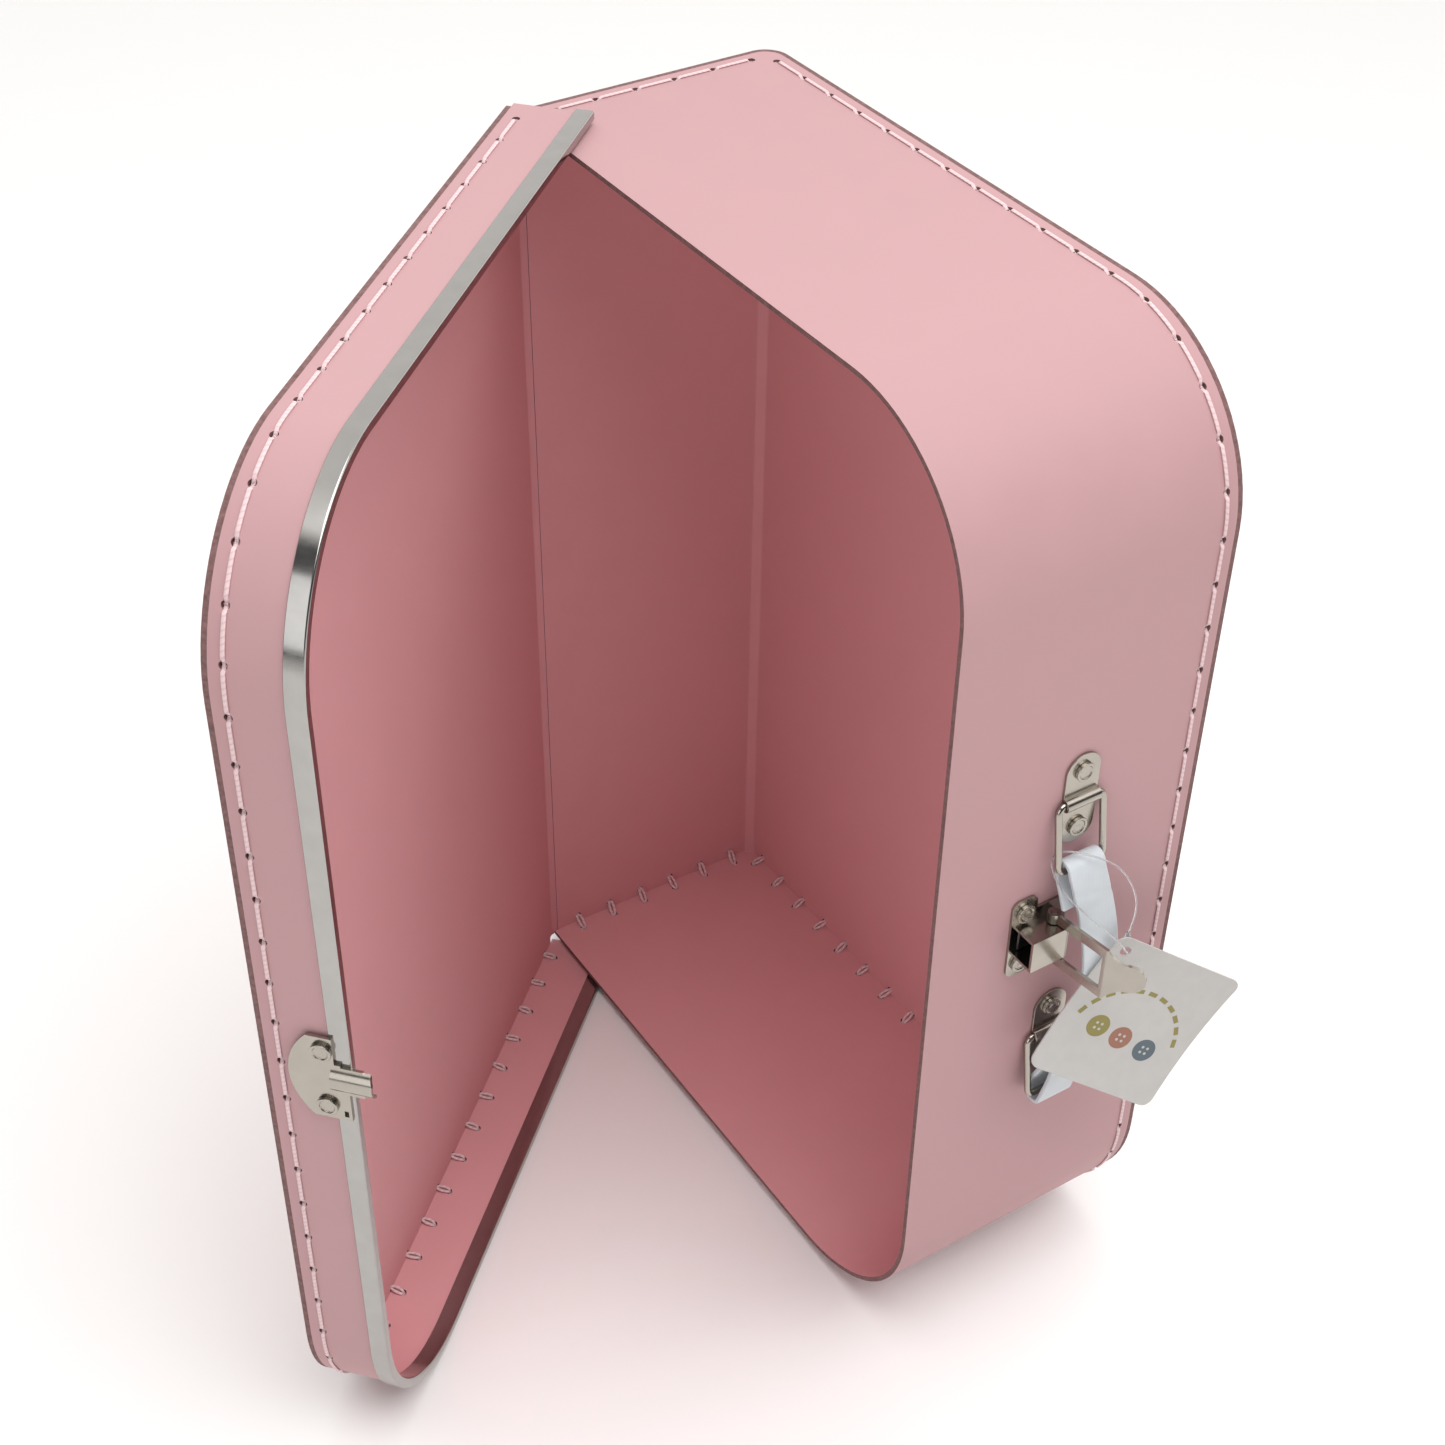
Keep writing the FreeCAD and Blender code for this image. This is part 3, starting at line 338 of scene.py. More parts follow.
def thicken(piece, thickness, offset=0.0):
    """Gives a flat sheet its thickness, faces outward."""
    sheet = piece.modifiers.new("thickness", "SOLIDIFY")
    sheet.thickness = thickness
    sheet.offset = offset
    select_only(piece)
    bpy.ops.object.modifier_apply(modifier=sheet.name)
    point_outwards(piece)


def own_copy(piece, name):
    twin = bpy.data.objects.new(name, piece.data.copy())
    bpy.context.scene.collection.objects.link(twin)
    return twin


def remove(piece):
    mesh = piece.data
    bpy.data.objects.remove(piece)
    bpy.data.meshes.remove(mesh)


def node_copy(node, name):
    """A merged copy of a CAD node's mesh, ready for modifiers."""
    piece = own_copy(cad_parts[node], name)
    piece.data.materials.clear()
    edit(piece)
    bpy.ops.mesh.select_all(action="SELECT")
    bpy.ops.mesh.remove_doubles(threshold=0.000005)
    bpy.ops.mesh.customdata_custom_splitnormals_clear()
    leave_edit()
    return piece


def round_edges(piece, width, angle=40.0, segments=2):
    """Rounds sharp edges and keeps the flats flat."""
    select_only(piece)
    bpy.ops.object.shade_smooth()
    bevel = piece.modifiers.new("edges", "BEVEL")
    bevel.width = width
    bevel.segments = segments
    bevel.limit_method = "ANGLE"
    bevel.angle_limit = math.radians(angle)
    bevel.harden_normals = True
    bevel.use_clamp_overlap = True
    bpy.ops.object.modifier_apply(modifier=bevel.name)


def smooth(piece, degrees=35.0):
    select_only(piece)
    bpy.ops.object.shade_smooth_by_angle(angle=math.radians(degrees))


def dress(piece, *materials):
    piece.data.materials.clear()
    for material in materials:
        piece.data.materials.append(material)


def settle(piece, body, slot, *nodes):
    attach(piece, body)
    if nodes:
        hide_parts(*nodes)


# ---- materials ----
def add(tree, kind, inputs=None, links=None, leads_to=None, **settings):
    """Adds a node with its settings, socket values and links in, and leads its first output on."""
    node = tree.nodes.new(kind)
    for key, value in settings.items():
        setattr(node, key, value)
    for key, value in (inputs or {}).items():
        node.inputs[key].default_value = value
    for key, socket in (links or {}).items():
        tree.links.new(socket, node.inputs[key])
    if leads_to is not None:
        tree.links.new(node.outputs[0], leads_to)
    return node


def new_material(name, roughness, metallic=0.0):
    material = bpy.data.materials.get(name)
    if material:
        return material, None, None
    material = bpy.data.materials.new(name)
    material.use_nodes = True
    shader = material.node_tree.nodes["Principled BSDF"]
    shader.inputs["Roughness"].default_value = roughness
    shader.inputs["Metallic"].default_value = metallic
    return material, material.node_tree, shader


def tint(colour_value, factor):
    return tuple(min(1.0, c * factor) for c in colour_value[:3]) + (1.0,)


def mottle(tree, shader, place, size, low, high, detail=3.0):
    """Base colour that wanders between two near tints, in patches of the given size."""
    noise = add(tree, "ShaderNodeTexNoise", {"Scale": 1 / size, "Detail": detail}, {"Vector": place})
    ramp = add(tree, "ShaderNodeValToRGB", None, {"Fac": noise.outputs["Fac"]}, shader.inputs["Base Color"])
    ramp.color_ramp.elements[0].position = 0.3
    ramp.color_ramp.elements[1].position = 0.7
    ramp.color_ramp.elements[0].color = low
    ramp.color_ramp.elements[1].color = high
    return noise


def coated_paper(name, base, roughness):
    """Fibreboard faced with dyed paper, calendered: an even matt colour, a faint cloudiness at 14 mm
    and a tooth that breaks the highlight, drawn at 0.7 mm because the real fibres are too fine to show."""
    material, tree, shader = new_material(name, roughness)
    if tree is None:
        return material
    place = add(tree, "ShaderNodeTexCoord").outputs["Object"]
    cloud = mottle(tree, shader, place, 14 * MM, tint(base, 0.985), tint(base, 1.012))
    tooth = add(tree, "ShaderNodeTexNoise", {"Scale": 1 / (0.7 * MM), "Detail": 4.0}, {"Vector": place})
    add(tree, "ShaderNodeBump", {"Strength": 0.10, "Distance": 0.08 * MM}, {"Height": tooth.outputs["Fac"]},
        shader.inputs["Normal"])
    add(tree, "ShaderNodeMapRange", {"From Min": 0.3, "From Max": 0.7, "To Min": roughness - 0.05,
                                     "To Max": roughness + 0.06}, {"Value": cloud.outputs["Fac"]},
        shader.inputs["Roughness"])
    shader.inputs["Specular IOR Level"].default_value = 0.35
    return material


def cut_board(name, base):
    """Guillotined grey board edge: dull brown-grey, patchy at 1.2 mm, with torn fibres at 0.35 mm."""
    material, tree, shader = new_material(name, 0.9)
    if tree is None:
        return material
    place = add(tree, "ShaderNodeTexCoord").outputs["Object"]
    mottle(tree, shader, place, 1.2 * MM, tint(base, 0.7), tint(base, 1.25), 4.0)
    fibres = add(tree, "ShaderNodeTexNoise", {"Scale": 1 / (0.35 * MM), "Detail": 3.0}, {"Vector": place})
    add(tree, "ShaderNodeBump", {"Strength": 0.5, "Distance": 0.1 * MM}, {"Height": fibres.outputs["Fac"]},
        shader.inputs["Normal"])
    return material


def waxed_thread(name, base):
    """Three-ply cotton thread, waxed: a pale satin cord whose plies cross it every 1.5 mm, coarser than
    life so that the twist shows, with painted shade darkening the grooves between the plies."""
    material, tree, shader = new_material(name, 0.62)
    if tree is None:
        return material
    ply = add(tree, "ShaderNodeAttribute", attribute_name="ply")
    parts = add(tree, "ShaderNodeSeparateXYZ", None, {"Vector": ply.outputs["Vector"]})
    turn = add(tree, "ShaderNodeMath", None, {0: parts.outputs["Y"], 1: parts.outputs["X"]},
               operation="ARCTAN2")
    along = add(tree, "ShaderNodeMath", {1: 2 * math.pi / PLY_PITCH}, {0: parts.outputs["Z"]},
                operation="MULTIPLY")
    angle = add(tree, "ShaderNodeMath", None, {0: turn.outputs[0], 1: along.outputs[0]}, operation="ADD")
    wave = add(tree, "ShaderNodeMath", None, {0: angle.outputs[0]}, operation="SINE")
    half = add(tree, "ShaderNodeMapRange", {"From Min": -1.0, "From Max": 1.0}, {"Value": wave.outputs[0]})
    # painted shade: the colour is darkest where the ply bump is lowest, in the grooves between the plies
    ramp = add(tree, "ShaderNodeValToRGB", None, {"Fac": half.outputs["Result"]}, shader.inputs["Base Color"])
    ramp.color_ramp.elements[0].color = tint(base, 0.86)
    ramp.color_ramp.elements[1].color = tint(base, 1.02)
    ramp.color_ramp.elements[1].position = 0.45
    add(tree, "ShaderNodeBump", {"Strength": 0.3, "Distance": 0.1 * MM}, {"Height": half.outputs["Result"]},
        shader.inputs["Normal"])
    return material


def plated_metal(name, base, roughness, grain, stretch):
    """Nickel-plated or rolled steel: bright grey, with a drawn grain along the sheet, and a little
    unevenness in gloss where hands and tools have dulled it."""
    material, tree, shader = new_material(name, roughness, 1.0)
    if tree is None:
        return material
    place = add(tree, "ShaderNodeTexCoord").outputs["Object"]
    mottle(tree, shader, place, 6 * MM, tint(base, 0.96), tint(base, 1.03))
    drawn = add(tree, "ShaderNodeMapping", {"Scale": stretch}, {"Vector": place})
    lines = add(tree, "ShaderNodeTexNoise", {"Scale": 1 / (grain * MM), "Detail": 3.0},
                {"Vector": drawn.outputs["Vector"]})
    add(tree, "ShaderNodeMapRange", {"From Min": 0.3, "From Max": 0.7, "To Min": roughness * 0.85,
                                     "To Max": roughness * 1.15}, {"Value": lines.outputs["Fac"]},
        shader.inputs["Roughness"])
    add(tree, "ShaderNodeBump", {"Strength": 0.05, "Distance": 0.02 * MM}, {"Height": lines.outputs["Fac"]},
        shader.inputs["Normal"])
    return material


def coated_strap(name, base):
    """Knife-coated fabric strap: smooth cool white with a soft shine and a faint weave, drawn at 1.2 mm
    because the real threads, at 0.6 mm, are too fine to show."""
    material, tree, shader = new_material(name, 0.42)
    if tree is None:
        return material
    place = add(tree, "ShaderNodeTexCoord").outputs["Object"]
    mottle(tree, shader, place, 5 * MM, tint(base, 0.96), tint(base, 1.02))
    threads = [add(tree, "ShaderNodeTexWave", {"Scale": 1 / (3.8 * MM), "Distortion": 0.4}, {"Vector": place},
                   bands_direction=way).outputs["Fac"] for way in ("Z", "Y")]
    weave = add(tree, "ShaderNodeMath", None, {0: threads[0], 1: threads[1]}, operation="MULTIPLY")
    add(tree, "ShaderNodeBump", {"Strength": 0.12, "Distance": 0.06 * MM}, {"Height": weave.outputs[0]},
        shader.inputs["Normal"])
    shader.inputs["Sheen Weight"].default_value = 0.1
    return material


def printed_card(name, base, roughness=0.55):
    """Uncoated 0.5 mm card: off-white and matt, with paper fibres drawn at 0.8 mm so that they show."""
    material, tree, shader = new_material(name, roughness)
    if tree is None:
        return material
    place = add(tree, "ShaderNodeTexCoord").outputs["Object"]
    mottle(tree, shader, place, 4 * MM, tint(base, 0.965), tint(base, 1.02), 5.0)
    fibres = add(tree, "ShaderNodeTexNoise", {"Scale": 1 / (0.8 * MM), "Detail": 4.0}, {"Vector": place})
    add(tree, "ShaderNodeBump", {"Strength": 0.08, "Distance": 0.05 * MM}, {"Height": fibres.outputs["Fac"]},
        shader.inputs["Normal"])
    return material


def nylon_line(name):
    """Extruded clear nylon: see-through, glossy, index 1.53, so only its rims and glints show."""
    material, tree, shader = new_material(name, 0.18)
    if tree is None:
        return material
    shader.inputs["IOR"].default_value = 1.53
    shader.inputs["Transmission Weight"].default_value = 0.85
    place = add(tree, "ShaderNodeTexCoord").outputs["Object"]
    mottle(tree, shader, place, 3 * MM, tint(to_linear("e8e8ea"), 0.95), tint(to_linear("f2f2f4"), 1.0))
    return material


def outside_paper():
    return coated_paper("matt_paper_facing_outside", colours().outside, 0.58)


def inside_paper():
    return coated_paper("matt_paper_facing_inside", colours().inside, 0.66)


def raw_edge():
    return cut_board("guillotined_grey_board", colours().raw_edge)


def thread_finish():
    return waxed_thread("waxed_cotton_thread", colours().thread)


def nickel():
    return plated_metal("nickel_plated_pressing", colours().nickel, 0.2, 0.5, (1.0, 1.0, 0.2))


def nickel_wire():
    return plated_metal("nickel_plated_wire", colours().nickel, 0.13, 0.5, (1.0, 1.0, 0.15))


def rolled_steel():
    return plated_metal("rolled_steel_edging", colours().trim, 0.16, 0.4, (0.15, 0.15, 0.6))


def rivet_metal():
    return plated_metal("headed_rivet_nickel", colours().nickel, 0.26, 0.35, (1.0, 1.0, 1.0))


def spring_steel():
    return plated_metal("blued_spring_steel", to_linear("6f6f70"), 0.35, 0.4, (1.0, 0.3, 1.0))


# ---- boards ----
def face_boards(piece, outward_at, local_of=case_of, turn_to_local=Matrix.Identity(3), least=0.55):
    """Gives each face of a board the outside paper, the inside paper or the cut edge."""
    dress(piece, outside_paper(), inside_paper(), raw_edge())
    for polygon in piece.data.polygons:
        facing = (turn_to_local @ polygon.normal).dot(outward_at(local_of(polygon.center)))
        polygon.material_index = 0 if facing > least else 1 if facing < -least else 2


def shell_outward(point):
    """Outward direction of the folded spine and back panel."""
    if point.y < DEPTH - FOLD:
        return Vector((-1.0, 0.0, 0.0))
    if point.x > FOLD:
        return Vector((0.0, 1.0, 0.0))
    return Vector((point.x - FOLD, point.y - (DEPTH - FOLD), 0.0)).normalized()


def wall_outward(point):
    return BASE.outward(point.x, point.z)


def lid_wall_outward(point):
    return LID.outward(point.x, point.z)


def panel_outward(point):
    return Vector((0.0, -1.0, 0.0))


def scored_inward(point):
    """Inward direction of the folded board: the fold is pressed as one narrow flat between two scores."""
    if point.x > FOLD or point.y < DEPTH - FOLD:
        return -shell_outward(point)
    angle = math.degrees(math.atan2(point.y - (DEPTH - FOLD), FOLD - point.x))
    flat = math.radians(0.0 if angle < 28.0 else 90.0 if angle > 62.0 else 45.0)
    return Vector((math.cos(flat), -math.sin(flat), 0.0))


def bend_normals(piece, outward_at, inward_at, local_of, turn):
    """Shades both papers from the bent board's own outward direction, and the cut edges flat."""
    select_only(piece)
    bpy.ops.object.shade_smooth()
    back = turn.transposed()
    mesh = piece.data
    outward = [back @ outward_at(local_of(vertex.co)) for vertex in mesh.vertices]
    inward = [back @ inward_at(local_of(vertex.co)) for vertex in mesh.vertices]
    normals = [None] * len(mesh.loops)
    for polygon in mesh.polygons:
        for corner in polygon.loop_indices:
            vertex = mesh.loops[corner].vertex_index
            choices = (outward[vertex], inward[vertex], polygon.normal.copy())
            normals[corner] = choices[polygon.material_index]
    mesh.normals_split_custom_set(normals)


def board(node, name, body, outward_at, inward_at=None):
    piece = node_copy(node, name)
    is_lid = body == "lid"
    turn = Matrix.Rotation(LID_ANGLE if is_lid else 0.0, 3, "Z")
    local_of = lid_of if is_lid else case_of
    face_boards(piece, outward_at, local_of, turn)
    bend_normals(piece, outward_at, inward_at or (lambda point: -outward_at(point)), local_of, turn)
    settle(piece, body, "pink_board", node)
    return piece


# ---- bars that are bent onto their way ----
def straight_bar(name, sides, rings):
    """One unit length of bar along X, with rings where it will bend."""
    deselect()
    bpy.ops.mesh.primitive_cylinder_add(vertices=sides, radius=0.5, depth=1.0, end_fill_type="NGON",
                                        rotation=(0.0, math.pi / 2, 0.0))
    piece = named(name)
    apply_place(piece)
    edit(piece)
    bpy.ops.mesh.select_all(action="DESELECT")
    leave_edit()
    for edge in piece.data.edges:
        ends = [piece.data.vertices[i].co.x for i in edge.vertices]
        edge.select = abs(ends[0] - ends[1]) > 0.5
    edit(piece)
    bpy.ops.mesh.select_mode(type="EDGE")
    bpy.ops.mesh.subdivide(number_cuts=rings - 1)
    leave_edit()
    return piece


# ---- threads ----
def bend_thread(piece, length, place):
    """Moves a straight prototype onto its way: place(along 0..1, across, up) in metres, and
    records the angle round the thread and the millimetres along it."""
    ply = piece.data.attributes.new("ply", "FLOAT_VECTOR", "POINT")
    for vertex in piece.data.vertices:
        along = vertex.co.x + 0.5
        across = vertex.co.y
        up = vertex.co.z
        ply.data[vertex.index].vector = (across * 2, up * 2, along * length)
        vertex.co = place(along, across, up)


def ease(t):
    t = min(max(t, 0.0), 1.0)
    return t * t * (3 - 2 * t)


def surface_run(prototype, name, length, site):
    """A stitch that lies on the board and dips into its two holes. site(along) gives the surface
    point, its outward direction and the sideways direction."""
    sizes = bpy.context.scene.case_sizes
    piece = own_copy(prototype, name)

    def place(along, across, up):
        point, out, side = site(along)
        end = min(along, 1.0 - along) * length
        height = sizes.thread_height
        rise = ease(end / THREAD_SLOPE) * (height / 2 + THREAD_DIP * MM) - THREAD_DIP * MM
        return point + out * (rise + up * height) + side * across * sizes.thread_width

    bend_thread(piece, length, place)
    return piece


def outline_sites(outline, to_frame, direction):
    """For each stitch, where its run lies: first all runs on the wall, then all on the panel."""
    panel_out = direction(0.0, outline.way, 0.0)
    stops = outline.stops()

    def on_wall(s):
        (x, z), (ox, oz) = outline.at(s)
        return to_frame(x, outline.panel_y - outline.way * SEAM_WALL, z), direction(ox, 0.0, oz), panel_out

    def on_panel(s):
        (x, z), (ox, oz) = outline.at(s, -outline.inset)
        return to_frame(x, outline.panel_y, z), panel_out, direction(ox, 0.0, oz)

    for on_board in (on_wall, on_panel):
        for first, last in zip(stops, stops[1:]):
            def site(along, first=first, last=last, on_board=on_board):
                return on_board(first + (last - first) * along)
            yield last - first, site


def case_direction(x, y, z=0.0):
    return Vector((x, y, z))


def spine_stops():
    last = DEPTH - 1.5 * FOLD
    step = (last - SEAM_START) / (SPINE_STITCHES - 1)
    return [SEAM_START + i * step for i in range(SPINE_STITCHES)]


def spine_sites():
    """The spine's stitches: each lies once on the end wall and once on the spine."""
    stops = spine_stops()
    for end, way in ((0.0, -1.0), (LENGTH, 1.0)):
        on_wall = (SEAM_WALL, end, Vector((0, 0, way)), Vector((1, 0, 0)))
        on_spine = (0.0, end - way * SEAM_SPINE, Vector((-1, 0, 0)), Vector((0, 0, 1)))
        for first, last in zip(stops, stops[1:]):
            for seam in (on_wall, on_spine):
                def site(along, first=first, last=last, seam=seam):
                    x, z, out, side = seam
                    return case(x, first + (last - first) * along, z), out, side
                yield last - first, site


def inner_loop(prototype, name, corner, wall_out, panel_out, along_seam, inset_panel, sway):
    """The inside of one stitch: two strands from the wall's hole across the corner to the panel's."""
    wall_hole = corner - panel_out * SEAM_WALL * MM
    panel_hole = corner - wall_out * inset_panel * MM
    stops = [wall_hole - wall_out * 0.5 * MM, wall_hole - wall_out * (BOARD + 0.25) * MM,
             wall_hole - wall_out * (BOARD + 0.5) * MM + panel_out * 0.7 * MM,
             panel_hole - panel_out * (BOARD + 0.75) * MM, panel_hole - panel_out * (BOARD + 0.2) * MM,
             panel_hole - panel_out * 0.5 * MM]
    lengths = [(b - a).length / MM for a, b in zip(stops, stops[1:])]
    total = sum(lengths)
    strands = []
    for lane in (-1, 1):
        piece = own_copy(prototype, name)

        def place(along, across, up, lane=lane):
            reach = along * total
            index = 0
            while index < len(lengths) - 1 and reach > lengths[index]:
                reach -= lengths[index]
                index += 1
            start, end = stops[index], stops[index + 1]
            point = start.lerp(end, min(reach / lengths[index], 1.0))
            forward = (end - start).normalized()
            over = forward.cross(along_seam).normalized()
            belly = math.sin(math.pi * along)
            drift = along_seam * (lane * (0.12 + 0.66 * belly) + sway * (along - 0.5)) * MM
            width = LOOP_WIDTH * MM
            return point + drift + along_seam * across * width + over * up * width * LOOP_FLAT
        bend_thread(piece, total, place)
        strands.append(piece)
    return strands


def seam_corners(outline, to_frame, direction):
    """For each stitch: the seam's corner outside, and the directions out of wall and panel."""
    for s in outline.stops():
        (x, z), (ox, oz) = outline.at(s)
        corner = to_frame(x, outline.panel_y, z)
        yield corner, direction(ox, 0.0, oz), direction(0.0, outline.way, 0.0), direction(-oz, 0.0, ox)


def stitch_piece(pieces, name, body, node):
    piece = join(pieces, name)
    dress(piece, thread_finish())
    smooth(piece, 60.0)
    settle(piece, body, "thread", node)
    return piece


# ---- edging ----
def trim_profile():
    """Section of the rolled channel, (out of the rim, along its depth) in millimetres, corners rounded."""
    outer = TRIM_FIT + TRIM_SHEET
    inner = -BOARD - TRIM_FIT - TRIM_SHEET
    low = LID_DEPTH - TRIM_WIDTH
    web = LID_DEPTH - TRIM_SHEET
    cut = TRIM_ROUND
    points = [(outer, low + cut), (outer - cut, low), (TRIM_FIT + cut, low), (TRIM_FIT, low + cut)]
    points += [(TRIM_FIT, web + TRIM_FIT), (-BOARD - TRIM_FIT, web + TRIM_FIT)]
    points += [(-BOARD - TRIM_FIT, low + cut), (-BOARD - TRIM_FIT - cut, low), (inner + cut, low)]
    points += [(inner, low + cut)]
    for centre, first in ((inner + TRIM_SHEET, math.pi), (outer - TRIM_SHEET, math.pi / 2)):
        for i in range(7):
            angle = first - math.pi / 2 * i / 6
            points.append((centre + TRIM_SHEET * math.cos(angle), web + TRIM_SHEET * math.sin(angle)))
    return points


def trim_stations():
    """Lengths along the rim where the channel's section is set: its ends and every 3 degrees of bend."""
    overrun = LID.start - RIM_START
    bend = [LID.arc * i / TRIM_BEND_STEPS for i in range(TRIM_BEND_STEPS + 1)]
    stops = [-overrun, LID.run * 0.5]
    stops += [LID.run + reach for reach in bend]
    stops += [LID.run + LID.arc + LID.side * 0.5]
    stops += [LID.run + LID.arc + LID.side + reach for reach in bend]
    return stops + [LID.length - LID.run * 0.5, LID.length + overrun]


def model_trim():
    profile = trim_profile()
    stations = trim_stations()
    piece = straight_bar("lid_edge_trim_channel", len(profile), len(stations) - 1)
    for vertex in piece.data.vertices:
        station = stations[round((vertex.co.x + 0.5) * (len(stations) - 1))]
        corner = round(math.atan2(vertex.co.z, vertex.co.y) / (2 * math.pi) * len(profile)) % len(profile)
        out, depth = profile[corner]
        (x, z), _ = LID.at(station, out)
        vertex.co = lid(x, depth, z)
    point_outwards(piece)
    smooth(piece, 32.0)
    dress(piece, rolled_steel())
    settle(piece, "lid", "trim_steel", "lid_edge_trim")


# ---- rivets ----
def rivet_prototype(name, grip, tail):
    """Tubular rivet along +X: a domed head with a pressed ring and a dished middle, shank, clinched tail."""
    deselect()
    bpy.ops.mesh.primitive_cylinder_add(vertices=32, radius=RIVET_HEAD * MM, depth=RIVET_DOME * MM,
                                        end_fill_type="NGON", location=(0.0, 0.0, RIVET_DOME * MM / 2))
    piece = named(name)
    apply_place(piece)
    edit(piece)
    bpy.ops.mesh.select_mode(type="FACE")
    bpy.ops.mesh.select_all(action="DESELECT")
    leave_edit()
    for face in piece.data.polygons:
        face.select = face.normal.z > 0.9
    edit(piece)
    for depth, inset in RIVET_RINGS:
        bpy.ops.mesh.inset(thickness=inset * MM, depth=depth * MM)
    leave_edit()
    round_edges(piece, 0.26 * MM, 30.0, 3)
    parts = [piece]
    for size, low, high in ((RIVET_SHANK, -grip, 0.0), (tail, -grip - TAIL_HEIGHT, -grip)):
        deselect()
        bpy.ops.mesh.primitive_cylinder_add(vertices=24, radius=size * MM, depth=(high - low) * MM,
                                            location=(0.0, 0.0, (high + low) / 2 * MM))
        parts.append(bpy.context.object)
        apply_place(parts[-1])
        round_edges(parts[-1], 0.2 * MM)
    piece = join(parts, name)
    piece.data.transform(Matrix.Rotation(math.pi / 2, 4, "Y"))
    return piece


def rivets(name, places, direction, grip, body, node, tail=RIVET_TAIL):
    prototype = rivet_prototype(name + "_one", grip, tail)
    turn = Vector((1, 0, 0)).rotation_difference(direction).to_matrix().to_4x4()
    copies = []
    for index, place in enumerate(places):
        copy = own_copy(prototype, name)
        spin = Matrix.Rotation(0.7 * index, 4, direction)
        copy.data.transform(Matrix.Translation(place) @ spin @ turn)
        copies.append(copy)
    remove(prototype)
    piece = join(copies, name)
    dress(piece, rivet_metal())
    settle(piece, body, "rivet_steel", node)


# ---- handle strap ----
def strap_line():
    """Side view of the strap's middle surface, (x, z) in case millimetres, tail to tail."""
    high, low = BARS_Z
    turns = [EYE_TURN * i / (EYE_POINTS - 1) for i in range(EYE_POINTS)]
    points = [(BAR.x + out, high - away) for out, away in STRAP_TAIL]
    for turn in turns:
        angle = math.radians(EYE_TURN - turn)
        points.append((BAR.x + EYE_RADIUS * math.cos(angle), high + EYE_RADIUS * math.sin(angle)))
    for i in range(1, BAND_STEPS):
        share = i / BAND_STEPS
        z = high + (low - high) * share
        points.append((BAR.x + EYE_RADIUS + STRAP_RISE * math.sin(math.pi * share), z))
    for turn in turns:
        angle = math.radians(-turn)
        points.append((BAR.x + EYE_RADIUS * math.cos(angle), low + EYE_RADIUS * math.sin(angle)))
    return points + [(BAR.x + out, low + away) for out, away in reversed(STRAP_TAIL)]


def creases(share, side):
    """Small folds pressed into the band where it has been bent by hand."""
    depth = 0.0
    for start, slope, size in STRAP_FOLDS:
        away = (share - start - slope * side) / FOLD_REACH
        depth -= size * math.exp(-away * away)
    return depth


def model_strap():
    line = strap_line()
    lengths = [0.0]
    for a, b in zip(line, line[1:]):
        lengths.append(lengths[-1] + math.dist(a, b))
    deselect()
    bpy.ops.mesh.primitive_grid_add(x_subdivisions=12, y_subdivisions=132, size=1.0)
    piece = named("handle_strap_band")
    for vertex in piece.data.vertices:
        side = vertex.co.x
        reach = (vertex.co.y + 0.5) * lengths[-1]
        index = max(i for i, v in enumerate(lengths[:-1]) if v <= reach + 1e-9)
        share = (reach - lengths[index]) / (lengths[index + 1] - lengths[index])
        (x0, z0), (x1, z1) = line[index], line[index + 1]
        x, z = x0 + (x1 - x0) * share, z0 + (z1 - z0) * share
        down = min(max((BARS_Z[0] - z) / (BARS_Z[0] - BARS_Z[1]), 0.0), 1.0)
        is_front = x > BAR.x + EYE_RADIUS * 0.9 and 0.0 < down < 1.0
        crown = 0.35 * (0.25 - side * side) * 4 * math.sin(math.pi * down) if is_front else 0.0
        x += crown + (creases(down, side) if is_front else 0.0)
        on_tail = index < FRONT_START or index >= FRONT_END
        sway = 0.0 if on_tail else STRAP_SWAY * math.sin(math.pi * down)
        y = HANDLE_Y + sway + side * STRAP_WIDTH
        vertex.co = case(x, y, z)
    thicken(piece, bpy.context.scene.case_sizes.strap_thickness)
    round_edges(piece, 0.32 * MM, 50.0, 3)
    smooth(piece, 50.0)
    dress(piece, coated_strap("knife_coated_strap", colours().strap))
    settle(piece, "strap", "strap_white", "handle_strap")


# ---- tag ----
def tag_at(across, down, out):
    """A point on the bowed card: millimetres across, down and out from its middle surface."""
    share = down / TAG_HEIGHT
    bow = -TAG_BEND * 4 * share * (1 - share)
    place = TAG_TOP + TAG_ACROSS * across + TAG_DOWN * down + TAG_OUT * (out + bow)
    return case(*place)


def print_spot(name, outline, material):
    """A printed shape: a filled outline in card millimetres, a hair proud of the card."""
    deselect()
    bpy.ops.mesh.primitive_circle_add(vertices=len(outline), radius=1.0, fill_type="NGON")
    piece = named(name)
    for vertex, (across, down) in zip(piece.data.vertices, outline):
        vertex.co = tag_at(across, down, PRINT_LIFT)
    thicken(piece, INK * MM, 1.0)
    dress(piece, material)
    return piece


def round_outline(across, down, radius, count):
    turns = [2 * math.pi * i / count for i in range(count)]
    return [(across + radius * math.cos(turn), down + radius * math.sin(turn)) for turn in turns]


def dash_outline(centre, radius, angle, length, width):
    """A short bar on an arc, square to its radius."""
    c, s = math.cos(angle), math.sin(angle)
    mid = (centre[0] + radius * c, centre[1] + radius * s)
    corners = []
    for along, out in ((-1, -1), (1, -1), (1, 1), (-1, 1)):
        a, o = along * length / 2, out * width / 2
        corners.append((mid[0] - s * a + c * o, mid[1] + c * a + s * o))
    return corners


# ---- operators ----
class BuildOperator:
    bl_options = {"REGISTER", "UNDO"}


